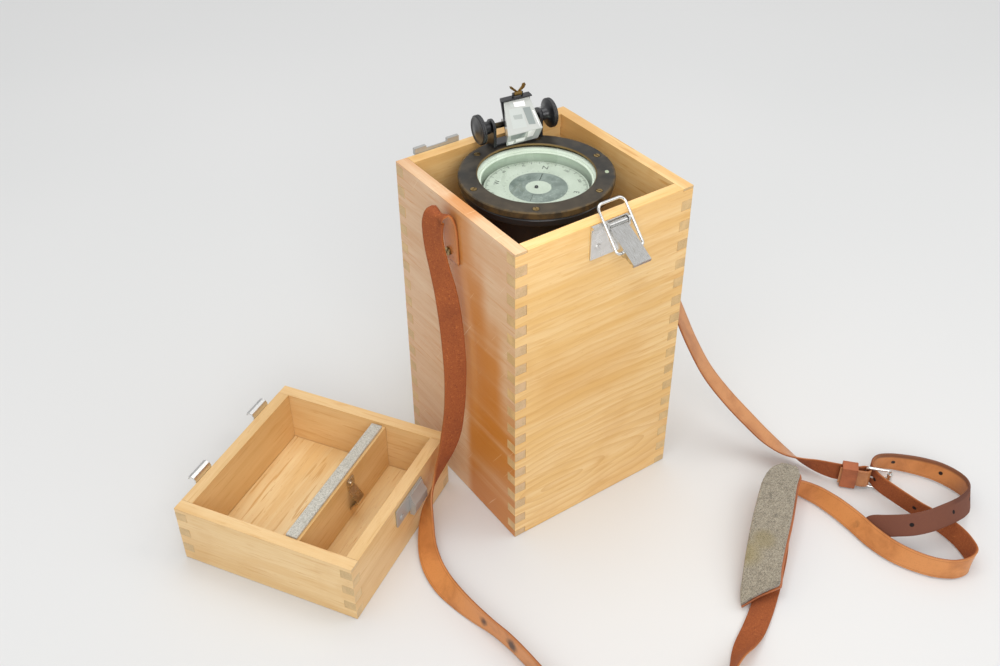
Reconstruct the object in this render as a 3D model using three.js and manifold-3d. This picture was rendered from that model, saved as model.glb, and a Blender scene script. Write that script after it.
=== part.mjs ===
// Liquid-filled bearing compass with a prism sight, in its box-jointed wooden carrying case
// with a lift-off lid and a leather shoulder strap. Millimetres, +Z up.
// Origin: centre of the underside of the case. Latch side faces -Y, strap ends are on the -X and +X walls.
import * as THREE from 'three';
import { mergeVertices } from 'three/addons/utils/BufferGeometryUtils.js';
import Module from 'manifold-3d';

const wasm = await Module();
wasm.setup();

// ---------------------------------------------------------------- driving dimensions
const caseWidth = 200;            // X
const caseDepth = 197;            // Y
const caseHeight = 346;           // Z, to the sawn rim
const wall = 12.5;                // thickness of every wooden wall
const boardThickness = 10;        // base board and lid board
const finger = 10.8;              // height of one finger of the box joint
const jointGap = 0.3;             // clearance between glued or touching pieces
const caseSawnFinger = 3;         // what the saw left of the top finger of the case
const lidSawnFinger = 4.5;        // what it left of the same finger in the lid
const lidHeight = 69.7;
const lidPlace = [-249, 39.5, 0]; // the lid lies open side up beside the case
const lidTurn = 31.81;            // degrees about Z

const compassAxis = [-3.5, 3.5];  // X, Y of the card's axis
const ringTop = 346.5;            // Z of the bezel's upper face
const ringOuter = 73.8;
const ringInner = 55.4;
const ringHeight = 7;
const screwCircle = 66;           // radius of the six bezel screws
const firstScrewAngle = -6.6;     // degrees
const cardRadius = 50;
const cardHeight = 329;           // Z of the underside of the card
const bowlFloor = 270;            // Z of the bowl's underside

const sightPlace = [17, 67.8, ringTop]; // under the middle of the sight's axle
const sightTurn = -7;             // degrees about Z
const axleHeight = 19.5;          // above the bezel
const prismTurn = 0;              // degrees, rest position of the prism about its axle

const strapWidth = 22;
const strapThickness = 2.4;
const wireRadius = 1.4;           // latch bail

// ---------------------------------------------------------------- finishes
const finish = (color, roughness, metalness = 0) => new THREE.MeshStandardMaterial({ color, roughness, metalness });
const honeyWood = () => finish(0xdcae72, 0.55);
const endWood = () => finish(0xd2a468, 0.6);
const greyFelt = () => finish(0xa9a897, 0.95);
const brightSteel = () => finish(0xc9c9c6, 0.3, 1);
const darkSteel = () => finish(0x6d5a4a, 0.5, 1);
const bronze = () => finish(0x55524c, 0.5, 0.7);
const brass = () => finish(0xb08a50, 0.4, 0.9);
const blackPaint = () => finish(0x1d1b1a, 0.45);
const paleEnamel = () => finish(0xdfe3d2, 0.6);
const clearGlass = () => finish(0xdfe8e2, 0.05);
const blackRubber = () => finish(0x151515, 0.8);
const tanLeather = () => finish(0xc1763a, 0.6);

// ---------------------------------------------------------------- shape helpers
const radians = THREE.MathUtils.degToRad;

function welded(geometry) {
  const bare = geometry.clone();
  bare.deleteAttribute('normal');
  bare.deleteAttribute('uv');
  return mergeVertices(bare, 1e-4);
}

function toSolid(geometry) {
  const shell = welded(geometry);
  const vertProperties = new Float32Array(shell.attributes.position.array);
  const triVerts = new Uint32Array(shell.index.array);
  return new wasm.Manifold(new wasm.Mesh({ numProp: 3, vertProperties, triVerts }));
}

function toGeometry(solid) {
  const mesh = solid.getMesh();
  const geometry = new THREE.BufferGeometry();
  geometry.setAttribute('position', new THREE.BufferAttribute(new Float32Array(mesh.vertProperties), 3));
  geometry.setIndex(new THREE.BufferAttribute(new Uint32Array(mesh.triVerts), 1));
  return geometry;
}

const cut = (base, ...tools) => toGeometry(tools.reduce((solid, tool) => solid.subtract(toSolid(tool)), toSolid(base)));
const join = (...pieces) => toGeometry(pieces.slice(1).reduce((solid, piece) => solid.add(toSolid(piece)),
  toSolid(pieces[0])));

function block(x0, x1, y0, y1, z0, z1) {
  return new THREE.BoxGeometry(x1 - x0, y1 - y0, z1 - z0)
    .translate((x0 + x1) / 2, (y0 + y1) / 2, (z0 + z1) / 2);
}

// A round rod between two points.
function rod(radius, from, to, sides = 12) {
  const a = new THREE.Vector3(...from);
  const b = new THREE.Vector3(...to);
  const axis = b.clone().sub(a);
  const geometry = new THREE.CylinderGeometry(radius, radius, axis.length(), sides);
  const turn = new THREE.Quaternion().setFromUnitVectors(new THREE.Vector3(0, 1, 0), axis.clone().normalize());
  return geometry.applyQuaternion(turn).translate(...a.add(b).multiplyScalar(0.5).toArray());
}

// A body of revolution about Z; the profile is a list of [radius, z].
function turned(profile, sides) {
  const points = profile.map(([radius, z]) => new THREE.Vector2(radius, z));
  return new THREE.LatheGeometry(points, sides).rotateX(Math.PI / 2);
}

// A tube wall of revolution: the profile closes on itself.
const turnedRing = (profile, sides) => turned([...profile, profile[0]], sides);

// An outline in the plane of two axes, extruded along the third.
function slab(points, depth) {
  const shape = new THREE.Shape(points.map(([x, y]) => new THREE.Vector2(x, y)));
  return new THREE.ExtrudeGeometry(shape, { depth, bevelEnabled: false });
}

// Outline points [y, z], extruded along X from x0 to x1.
function slabAlongX(points, x0, x1) {
  const basis = new THREE.Matrix4().makeBasis(new THREE.Vector3(0, 1, 0), new THREE.Vector3(0, 0, 1),
    new THREE.Vector3(1, 0, 0));
  return slab(points, x1 - x0).applyMatrix4(basis).translate(x0, 0, 0);
}

// A flat band of rectangular section along a smooth route. Each stop is [x, y, z, sx, sy, sz]:
// a point of the centre line and the direction of the band's width there.
function band(stops, width, thickness, stepsPerStop) {
  const line = new THREE.CatmullRomCurve3(stops.map((s) => new THREE.Vector3(s[0], s[1], s[2])), false, 'centripetal');
  const steps = (stops.length - 1) * stepsPerStop;
  const geometry = new THREE.BoxGeometry(1, 1, 1, 1, 1, steps);
  const place = geometry.attributes.position;
  for (let i = 0; i < place.count; i += 1) {
    const t = Math.min(1, Math.max(0, place.getZ(i) + 0.5));
    const along = t * (stops.length - 1);
    const stop = Math.min(stops.length - 2, Math.floor(along + 1e-6));
    const blend = along - stop;
    const from = new THREE.Vector3(...stops[stop].slice(3));
    const to = new THREE.Vector3(...stops[stop + 1].slice(3));
    const tangent = line.getTangent(t);
    const side = from.lerp(to, blend);
    side.addScaledVector(tangent, -side.dot(tangent)).normalize();
    const face = tangent.clone().cross(side);
    const point = line.getPoint(t);
    point.addScaledVector(side, place.getX(i) * width);
    point.addScaledVector(face, place.getY(i) * thickness);
    place.setXYZ(i, point.x, point.y, point.z);
  }
  return geometry;
}

// A round wire along a route of points.
function wire(points, radius, steps, sides = 8) {
  const path = new THREE.CatmullRomCurve3(points.map((p) => new THREE.Vector3(...p)), false, 'centripetal');
  const ring = new THREE.Shape();
  ring.absarc(0, 0, radius, 0, 2 * Math.PI, false);
  const outline = new THREE.Shape(ring.getSpacedPoints(sides).slice(0, sides));
  return new THREE.ExtrudeGeometry(outline, { steps, extrudePath: path, curveSegments: sides });
}

// ---------------------------------------------------------------- assembly
const assembly = new THREE.Group();

function group(place = [0, 0, 0], turn = 0, parent = assembly) {
  const frame = new THREE.Group();
  frame.position.set(...place);
  frame.rotation.z = radians(turn);
  parent.add(frame);
  return frame;
}

function put(parent, name, geometry, material) {
  const mesh = new THREE.Mesh(geometry, material);
  mesh.name = name;
  parent.add(mesh);
  return mesh;
}

// A slotted screw: countersunk or domed head and shank, along -axis from the surface point.
function slottedScrew(place, axis, headRadius, headHeight, shankRadius, shankLength, slotTurn = 0.5) {
  const out = new THREE.Vector3(...axis).normalize();
  const at = (offset) => new THREE.Vector3(...place).addScaledVector(out, offset).toArray();
  const head = rod(headRadius, at(0), at(headHeight), 14);
  const shank = rod(shankRadius, at(0.01), at(-shankLength), 8);
  const across = new THREE.Vector3(Math.cos(slotTurn), Math.sin(slotTurn), 0.31).cross(out).normalize();
  const slot = new THREE.BoxGeometry(0.9, headHeight, 2.4 * headRadius);
  const basis = new THREE.Matrix4().makeBasis(out.clone().cross(across), out, across);
  slot.applyMatrix4(basis).translate(...at(headHeight));
  return cut(join(head, shank), slot);
}

// ---------------------------------------------------------------- box-jointed walls
// Half the outline of a wall with fingers on its upright edge, as [half length, z] from the bottom up.
function fingerEdge(height, sawn, fingersOwn, half) {
  const short = half - wall - jointGap;
  const edge = [];
  let top = height;
  let own = fingersOwn;
  let next = height - sawn;
  while (top > 0) {
    const bottom = Math.max(0, next);
    const reach = own ? half : short;
    const shrink = own ? jointGap / 2 : -jointGap / 2;
    const upper = top === height ? height : top - shrink;
    const lower = bottom === 0 ? 0 : bottom + shrink;
    edge.push([reach, upper], [reach, lower]);
    top = bottom;
    next = bottom - finger;
    own = !own;
  }
  return edge.reverse();
}

function fingerWall(height, sawn, fingersOwn, half) {
  const right = fingerEdge(height, sawn, fingersOwn, half);
  const left = right.map(([x, z]) => [-x, z]).reverse();
  return slab([...right, ...left], wall);
}

// Walls of a box: front and back are a wall's length along X, left and right along Y.
function boxWalls(parent, prefix, height, sawn, material) {
  const upright = new THREE.Matrix4().makeRotationX(Math.PI / 2);
  const sideways = new THREE.Matrix4().makeRotationZ(Math.PI / 2);
  const halfWidth = caseWidth / 2;
  const halfDepth = caseDepth / 2;
  const front = fingerWall(height, sawn, false, halfWidth).applyMatrix4(upright).translate(0, wall - halfDepth, 0);
  const back = fingerWall(height, sawn, false, halfWidth).applyMatrix4(upright).translate(0, halfDepth, 0);
  const side = () => fingerWall(height, sawn, true, halfDepth).applyMatrix4(upright).applyMatrix4(sideways);
  put(parent, `${prefix}_front_wall`, front, material());
  put(parent, `${prefix}_back_wall`, back, material());
  put(parent, `${prefix}_left_wall`, side().translate(-halfWidth, 0, 0), material());
  put(parent, `${prefix}_right_wall`, side().translate(halfWidth - wall, 0, 0), material());
}

function innerBoard(z0, z1) {
  const x = caseWidth / 2 - wall - jointGap;
  const y = caseDepth / 2 - wall - jointGap;
  return block(-x, x, -y, y, z0, z1);
}

// ---------------------------------------------------------------- carrying case
function carryingCase() {
  const box = group();
  boxWalls(box, 'case', caseHeight, caseSawnFinger, honeyWood);
  put(box, 'case_base_board', innerBoard(0, boardThickness), endWood());

  // The compass stands in a hole in a board, which lies on a frame of four cleats.
  const boardTop = 262;
  const boardBottom = 250;
  const [ax, ay] = compassAxis;
  const gripHole = rod(27, [ax, ay, boardBottom - 1], [ax, ay, boardTop + 1], 32);
  put(box, 'cradle_board', cut(innerBoard(boardBottom, boardTop), gripHole), endWood());
  const cleat = 12;
  const insideX = caseWidth / 2 - wall - jointGap - cleat;
  const insideY = caseDepth / 2 - wall - jointGap - cleat;
  const frameTop = boardBottom - jointGap;
  const frameHole = block(-insideX, insideX, -insideY, insideY, frameTop - 20, frameTop + 1);
  put(box, 'cradle_frame', cut(innerBoard(frameTop - 18, frameTop), frameHole), endWood());
  const feltRing = turnedRing([[28, 262.3], [50, 262.3], [50, 269.6], [28, 269.6]], 32);
  put(box, 'cradle_felt', feltRing.translate(ax, ay, 0), greyFelt());
}

// ---------------------------------------------------------------- lid hook plates on the back wall
const hookPlaceX = [-53, 50];
const hookPlateHalf = 25;

function hookPlate(name, x) {
  const y = caseDepth / 2 + jointGap;
  const tab = (x0) => block(x0, x0 + 13, y, y + 4, 345, 351.5);
  const screw = (side) => slottedScrew([x + side * 17, y + 1.4, 335], [0, 1, 0], 3.2, 1.2, 1.5, 1.2, 0.4 + side);
  const plate = block(x - hookPlateHalf, x + hookPlateHalf, y, y + 1.5, 326, 349);
  put(assembly, name, join(plate, tab(x - hookPlateHalf), tab(x + hookPlateHalf - 13), screw(-1), screw(1)),
    brightSteel());
}

// ---------------------------------------------------------------- draw latch on the front wall
const latchX = 6.5;                       // middle of the lever
const leverHalf = 10;
const leverPivot = [-102.8, 341.5];       // Y, Z
const leverDrop = 30.5;                   // degrees below level at rest
const leverLength = 42.5;
const bailSeat = [26, -5];                // along the lever, and below its face
const bailHalf = 15;                      // to the middle of each leg
const bailReach = 46.6;
const bailRise = 47.5;                    // degrees above level at rest, leaning on the rim

function leverPoint(along, above) {
  const angle = radians(leverDrop);
  return [leverPivot[0] - along * Math.cos(angle) - above * Math.sin(angle),
    leverPivot[1] - along * Math.sin(angle) + above * Math.cos(angle)];
}

function drawLatch() {
  const face = -caseDepth / 2 - jointGap;
  const [py, pz] = leverPivot;
  const holeAlongX = (radius, y, z) => rod(radius, [latchX - 30, y, z], [latchX + 30, y, z], 12);

  const plate = block(-20, latchX + leverHalf + 3.2, face - 1.5, face, 310, 345);
  const ear = (x) => block(x - 1.2, x + 1.2, py - 3, face - 1, pz - 4.5, pz + 4);
  const lip = block(-20, -12, face - 4, face - 1, 341.5, 345);
  const screw = (x, z) => slottedScrew([x, face - 1.4, z], [0, -1, 0], 3.4, 1, 1.7, 1.3, 1.1);
  const ears = join(ear(latchX - leverHalf - 1.9), ear(latchX + leverHalf + 1.9), plate, lip);
  const tubeRoom = rod(3.9, [latchX - leverHalf - 0.4, py, pz], [latchX + leverHalf + 0.4, py, pz], 16);
  const base = join(cut(ears, holeAlongX(1.5, py, pz), tubeRoom), screw(-11.3, 321), screw(latchX, 316));
  put(assembly, 'latch_base', base, brightSteel());

  const pinHalf = leverHalf + 3.6;
  put(assembly, 'latch_pivot_pin', rod(1.2, [latchX - pinHalf, py, pz], [latchX + pinHalf, py, pz], 12), brightSteel());

  // Lever: a tapering channel, its sides deeper where the bail is pinned.
  const sheet = 1.3;
  const top = slabAlongX([leverPoint(2, 0), leverPoint(leverLength, 0), leverPoint(leverLength + 0.8, -2.6),
    leverPoint(leverLength - 0.4, -2.9), leverPoint(leverLength - 1, -sheet), leverPoint(2, -sheet)].reverse(),
  latchX - leverHalf, latchX + leverHalf);
  const cheekOutline = [leverPoint(-2.6, 0), leverPoint(leverLength - 1, -0.2), leverPoint(leverLength - 4, -3.4), leverPoint(32, -4.4),
    leverPoint(bailSeat[0] + 3, bailSeat[1] - 2.6), leverPoint(bailSeat[0] - 3, bailSeat[1] - 2.6), leverPoint(19, -4.4),
    leverPoint(2, -3), leverPoint(-2.6, -2.4)].reverse();
  const cheek = (x) => slabAlongX(cheekOutline, x, x + sheet);
  const [by, bz] = leverPoint(...bailSeat);
  const tube = rod(3, [latchX - leverHalf, py, pz], [latchX + leverHalf, py, pz], 16);
  const lever = cut(join(top, cheek(latchX - leverHalf), cheek(latchX + leverHalf - sheet), tube),
    holeAlongX(1.5, py, pz), holeAlongX(1.7, by, bz));
  put(assembly, 'latch_lever', lever, brightSteel());

  // Bail: one bent wire, its feet turned in through the lever's sides.
  const rise = radians(bailRise);
  const reach = (r) => [by + r * Math.cos(rise), bz + r * Math.sin(rise)];
  const leftX = latchX - bailHalf;
  const rightX = latchX + bailHalf;
  const corner = 6;
  const route = [[leftX + 7.5, ...reach(0)], [leftX + 3.5, ...reach(0)], [leftX + 0.8, ...reach(0.8)],
    [leftX, ...reach(3.5)], [leftX, ...reach(16)], [leftX, ...reach(bailReach - corner - 6)],
    [leftX, ...reach(bailReach - corner)],
    [leftX + 1.8, ...reach(bailReach - 1.8)], [leftX + corner, ...reach(bailReach)], [latchX, ...reach(bailReach)],
    [rightX - corner, ...reach(bailReach)], [rightX - 1.8, ...reach(bailReach - 1.8)],
    [rightX, ...reach(bailReach - corner)], [rightX, ...reach(bailReach - corner - 6)], [rightX, ...reach(16)],
    [rightX, ...reach(3.5)], [rightX - 0.8, ...reach(0.8)], [rightX - 3.5, ...reach(0)], [rightX - 7.5, ...reach(0)]];
  put(assembly, 'latch_bail', wire(route, wireRadius, 56), brightSteel());
}

// ---------------------------------------------------------------- lid, lying open side up
// In the lid's own frame X runs along its latch wall, the latch wall faces -Y and Z is up from its outer top.
const dividerY = [-33.5, -20.5];
const dividerTop = 66;

function lid() {
  const cover = group(lidPlace, lidTurn);
  boxWalls(cover, 'lid', lidHeight, lidSawnFinger, honeyWood);
  put(cover, 'lid_top_board', innerBoard(0, boardThickness), honeyWood());

  const reach = caseWidth / 2 - wall - jointGap;
  const divider = block(-reach, reach, dividerY[0], dividerY[1], boardThickness + jointGap, dividerTop);
  put(cover, 'lid_divider', divider, honeyWood());
  const felt = block(-reach + 2, reach - 3, dividerY[0] + 2.5, dividerY[1] + 1.8, dividerTop + jointGap, 69.2);
  put(cover, 'divider_felt', felt, greyFelt());

  // Leaf spring on the latch side of the divider: its foot is screwed near the top and the leaf bows out below.
  const leaf = [[-33.8, 22], [-35, 22], [-38, 27], [-43.6, 33], [-44.8, 36.5], [-44, 39], [-39.6, 44.2],
    [-35.2, 49.6], [-35.2, 62], [-33.8, 62], [-33.8, 48.8], [-38.4, 43.2], [-42.9, 37.8], [-43.2, 35.4],
    [-37, 28.6], [-33.8, 23.4]];
  const clipScrew = slottedScrew([9.5, -35.1, 56], [0, -1, 0], 3.2, 1.3, 1.5, 1.2, 0.7);
  put(cover, 'spring_clip', join(slabAlongX(leaf, 3.5, 15.5), clipScrew), darkSteel());

  // Two J-shaped hooks on the back wall that catch under the plates on the case.
  const back = caseDepth / 2 + jointGap;
  const hookOutline = [[0, 44], [1.4, 44], [1.4, 71], [2.6, 73.6], [5, 74.6], [7.4, 73.8], [8.6, 71.4], [9.8, 72],
    [8.4, 75], [5, 76.2], [1.8, 75], [0, 71.6]];
  const hook = (name, x) => {
    const leafPlate = slabAlongX(hookOutline.map(([y, z]) => [back + y, z]), x - 13, x + 13);
    const screw = slottedScrew([x, back + 1.3, 54], [0, 1, 0], 3.2, 1.2, 1.5, 1.2, 0.9);
    put(cover, name, join(leafPlate, screw), brightSteel());
  };
  hook('lid_hook_near', -hookPlaceX[0]);
  hook('lid_hook_far', -hookPlaceX[1]);

  // Catch for the bail: a screwed plate with a raised nose near one end.
  const front = -caseDepth / 2 - jointGap;
  const plate = block(-15, 38.5, front - 1.5, front, 42, 63.5);
  const nose = slabAlongX([[front - 1, 36], [front - 1, 62], [front - 3, 62], [front - 4.5, 56], [front - 8, 51],
    [front - 8, 41], [front - 5.5, 36]], 11, 37);
  const noseHollow = block(15, 33, front - 7, front - 2.5, 34, 46);
  const wingScrew = slottedScrew([-6, front - 1.4, 49], [0, -1, 0], 3.2, 1.2, 1.5, 1.2, 1.9);
  put(cover, 'lid_catch', join(cut(join(plate, nose), noseHollow), wingScrew), brightSteel());
}

// ---------------------------------------------------------------- compass
function bowlAndBezel(compass) {
  const flange = ringTop - ringHeight - 0.3;
  const bowl = turned([[0, bowlFloor], [24, bowlFloor], [50, bowlFloor], [60, 292], [61.5, 326], [71.5, 331.5],
    [71.5, flange - 2.5], [69.5, flange], [54.3, flange], [54.3, 294], [44, 277], [0, 277]], 64);
  put(compass, 'compass_bowl', bowl, blackPaint());

  const seat = ringTop - 1.8;
  const bottom = ringTop - ringHeight;
  const ring = turnedRing([[59.4, bottom], [ringOuter - 0.8, bottom], [ringOuter, bottom + 0.8],
    [ringOuter, ringTop - 0.9], [ringOuter - 0.9, ringTop], [ringInner + 1, ringTop], [ringInner, ringTop - 0.9],
    [ringInner, seat], [59.4, seat]], 72);
  const holes = [];
  for (let i = 0; i < 6; i += 1) {
    const angle = radians(firstScrewAngle + 60 * i);
    const spot = [screwCircle * Math.cos(angle), screwCircle * Math.sin(angle), ringTop - 1.2];
    holes.push(rod(3.5, [spot[0], spot[1], ringTop - 1.5], [spot[0], spot[1], ringTop + 1], 14));
    holes.push(rod(1.7, [spot[0], spot[1], bottom - 1], [spot[0], spot[1], ringTop], 10));
    put(compass, `bezel_screw_${i + 1}`, slottedScrew(spot, [0, 0, 1], 3.1, 1.4, 1.4, 5.6, 0.7 * i), brass());
  }
  put(compass, 'bezel_ring', cut(ring, ...holes), bronze());
  put(compass, 'compass_glass', turned([[0, 341.6], [58.8, 341.6], [58.8, 344.3], [0, 344.3]], 64), clearGlass());
  put(compass, 'glass_gasket', turnedRing([[55.6, 339.5], [58.8, 339.5], [58.8, 341.3], [55.6, 341.3]], 56),
    blackRubber());
}

function cardGroup(compass) {
  const card = turnedRing([[1.7, cardHeight], [cardRadius, cardHeight], [cardRadius, cardHeight + 0.9],
    [1.7, cardHeight + 0.9]], 64);
  put(compass, 'compass_card', card, paleEnamel());
  const float = turned([[0, 325.5], [3.2, 321], [4, 316], [20, 318], [24, 322], [20, 326], [8, cardHeight - 0.3],
    [0, cardHeight - 0.3]], 32);
  put(compass, 'card_float', float, brass());
  const magnet = turnedRing([[26, 323.5], [32, 323.5], [32, cardHeight - 0.3], [26, cardHeight - 0.3]], 32);
  put(compass, 'ring_magnet', magnet, darkSteel());
  const cap = turned([[0, cardHeight - 0.2], [1.4, cardHeight - 0.2], [1.4, cardHeight + 1.2],
    [2, cardHeight + 1.3], [1.4, cardHeight + 2.6], [0, cardHeight + 2.8]], 14);
  put(compass, 'jewel_cap', cap, blackPaint());
}

function insideBowl(compass) {
  const post = turned([[0, 277.3], [9, 277.3], [9, 280], [3, 283], [2.2, 318], [0.4, 324.8], [0, 324.8]], 16);
  put(compass, 'pivot_post', post, brass());
  const waves = turnedRing([[11, 281], [17, 279.4], [23, 281.6], [29, 279.4], [35, 281.6], [42, 280.4],
    [42, 281.2], [35, 282.4], [29, 280.2], [23, 282.4], [17, 280.2], [11, 281.8]], 32);
  put(compass, 'expansion_diaphragm', waves, brass());
}

function handGrip(compass) {
  const grip = turned([[0, 128.3], [17, 128.3], [19, 132], [20.5, 160], [18, 185], [21, 212], [19, 236], [22, 252],
    [23, bowlFloor - 0.3], [0, bowlFloor - 0.3]], 28);
  put(compass, 'grip_body', grip, blackRubber());
  put(compass, 'grip_end_cap', turned([[0, 112], [19, 112], [21, 114], [21, 126], [19, 128], [0, 128]], 28), bronze());
}

// ---------------------------------------------------------------- prism sight on the bezel
function prismSight() {
  const sight = group(sightPlace, sightTurn);
  const holeAlongX = (radius) => rod(radius, [-60, 0, axleHeight], [60, 0, axleHeight], 16);

  // Foot and two cheeks that carry the axle.
  const footRise = jointGap;
  const foot = block(-27, 27, -6, 6, footRise, footRise + 2.5);
  const cheekRadius = 8;
  const outline = [[-8, footRise], [8, footRise]];
  for (let i = 0; i <= 8; i += 1) {
    const angle = Math.PI * i / 8;
    outline.push([cheekRadius * Math.cos(angle), axleHeight + cheekRadius * Math.sin(angle)]);
  }
  const cheek = (x) => slabAlongX(outline, x - 1.5, x + 1.5);
  const base = cut(join(foot, cheek(-25.5), cheek(25.5)), holeAlongX(3.2));
  put(sight, 'sight_bracket', base, blackPaint());

  const tilt = new THREE.Group();
  tilt.position.set(0, 0, axleHeight);
  tilt.rotation.x = radians(prismTurn);
  sight.add(tilt);
  put(tilt, 'sight_axle', rod(2.8, [-46, 0, 0], [46, 0, 0], 16), bronze());

  // Knurled discs on the ends of the axle.
  const knob = (side) => {
    const sides = 32;
    const teeth = [];
    for (let i = 0; i < sides; i += 1) {
      const radius = i % 2 ? 13 : 13.6;
      teeth.push([radius * Math.cos(2 * Math.PI * i / sides), radius * Math.sin(2 * Math.PI * i / sides)]);
    }
    const disc = slabAlongX(teeth, Math.min(side * 34, side * 40), Math.max(side * 34, side * 40));
    const hub = rod(6, [side * 28, 0, 0], [side * 34.5, 0, 0], 16);
    return cut(join(disc, hub), rod(3.1, [-60, 0, 0], [60, 0, 0], 16));
  };
  put(tilt, 'left_knob', knob(-1), blackPaint());
  put(tilt, 'right_knob', knob(1), blackPaint());

  // Prism: a three-sided bar of glass, its long face to the rear.
  const glass = [[-11.6, -17.6], [-17.4, 4.6], [1.6, 21.6]];
  const prismHalf = 19;
  const prismMiddle = 2;
  put(tilt, 'sight_prism', slabAlongX([glass[0], glass[2], glass[1]], prismMiddle - prismHalf,
    prismMiddle + prismHalf), clearGlass());

  // Holder: back plate behind the long face, a top lip, a bottom lip and a lug round the axle.
  const backPlate = slabAlongX([[-11.4, -18.3], [-8.9, -18.3], [4.6, 22], [4.6, 25.6], [-3.4, 25.6], [-3.4, 22.4],
    [2.2, 22.4]], prismMiddle - prismHalf - 0.6, prismMiddle + prismHalf + 0.6);
  const lug = slabAlongX([[-6.7, -4.6], [3.6, -4.6], [4.6, 0], [3.6, 4.6], [-3, 6.6]], -9, 12);
  // Folding sight vane: a hinge strip and two prongs that open in a fork.
  const vaneZ = 27.2;
  const prong = (lean) => {
    const foot0 = [prismMiddle + 1, 0, vaneZ + 2.4];
    const tip = [prismMiddle + 1 + lean * 8.6, 1.2, vaneZ + 8.4];
    return wire([foot0, [foot0[0] + lean * 3.4, 0.3, vaneZ + 4.6], tip], 1.1, 6, 6);
  };
  const strip = block(prismMiddle - 3, prismMiddle + 5, -1.2, 1.4, vaneZ, vaneZ + 3.4);
  const vaneBore = rod(0.9, [prismMiddle - 8, 0, vaneZ + 1.2], [prismMiddle + 9, 0, vaneZ + 1.2], 8);
  put(tilt, 'sight_vane', cut(join(strip, prong(-1), prong(1)), vaneBore), brass());
  const lugs = [[-4.6, -3.4], [5.4, 6.6]];
  const hinge = lugs.map(([x0, x1]) => block(prismMiddle + x0, prismMiddle + x1, -1.2, 1.6, 25, vaneZ + 2.6));
  const pin = rod(0.7, [prismMiddle - 4.6, 0, vaneZ + 1.2], [prismMiddle + 6.6, 0, vaneZ + 1.2], 8);
  const holder = cut(join(backPlate, lug, ...hinge, pin), rod(3, [-60, 0, 0], [60, 0, 0], 16));
  put(tilt, 'prism_holder', holder, blackPaint());
}

function compassAssembly() {
  const compass = group([...compassAxis, 0]);
  bowlAndBezel(compass);
  cardGroup(compass);
  insideBowl(compass);
  handGrip(compass);
  prismSight();
}

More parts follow.
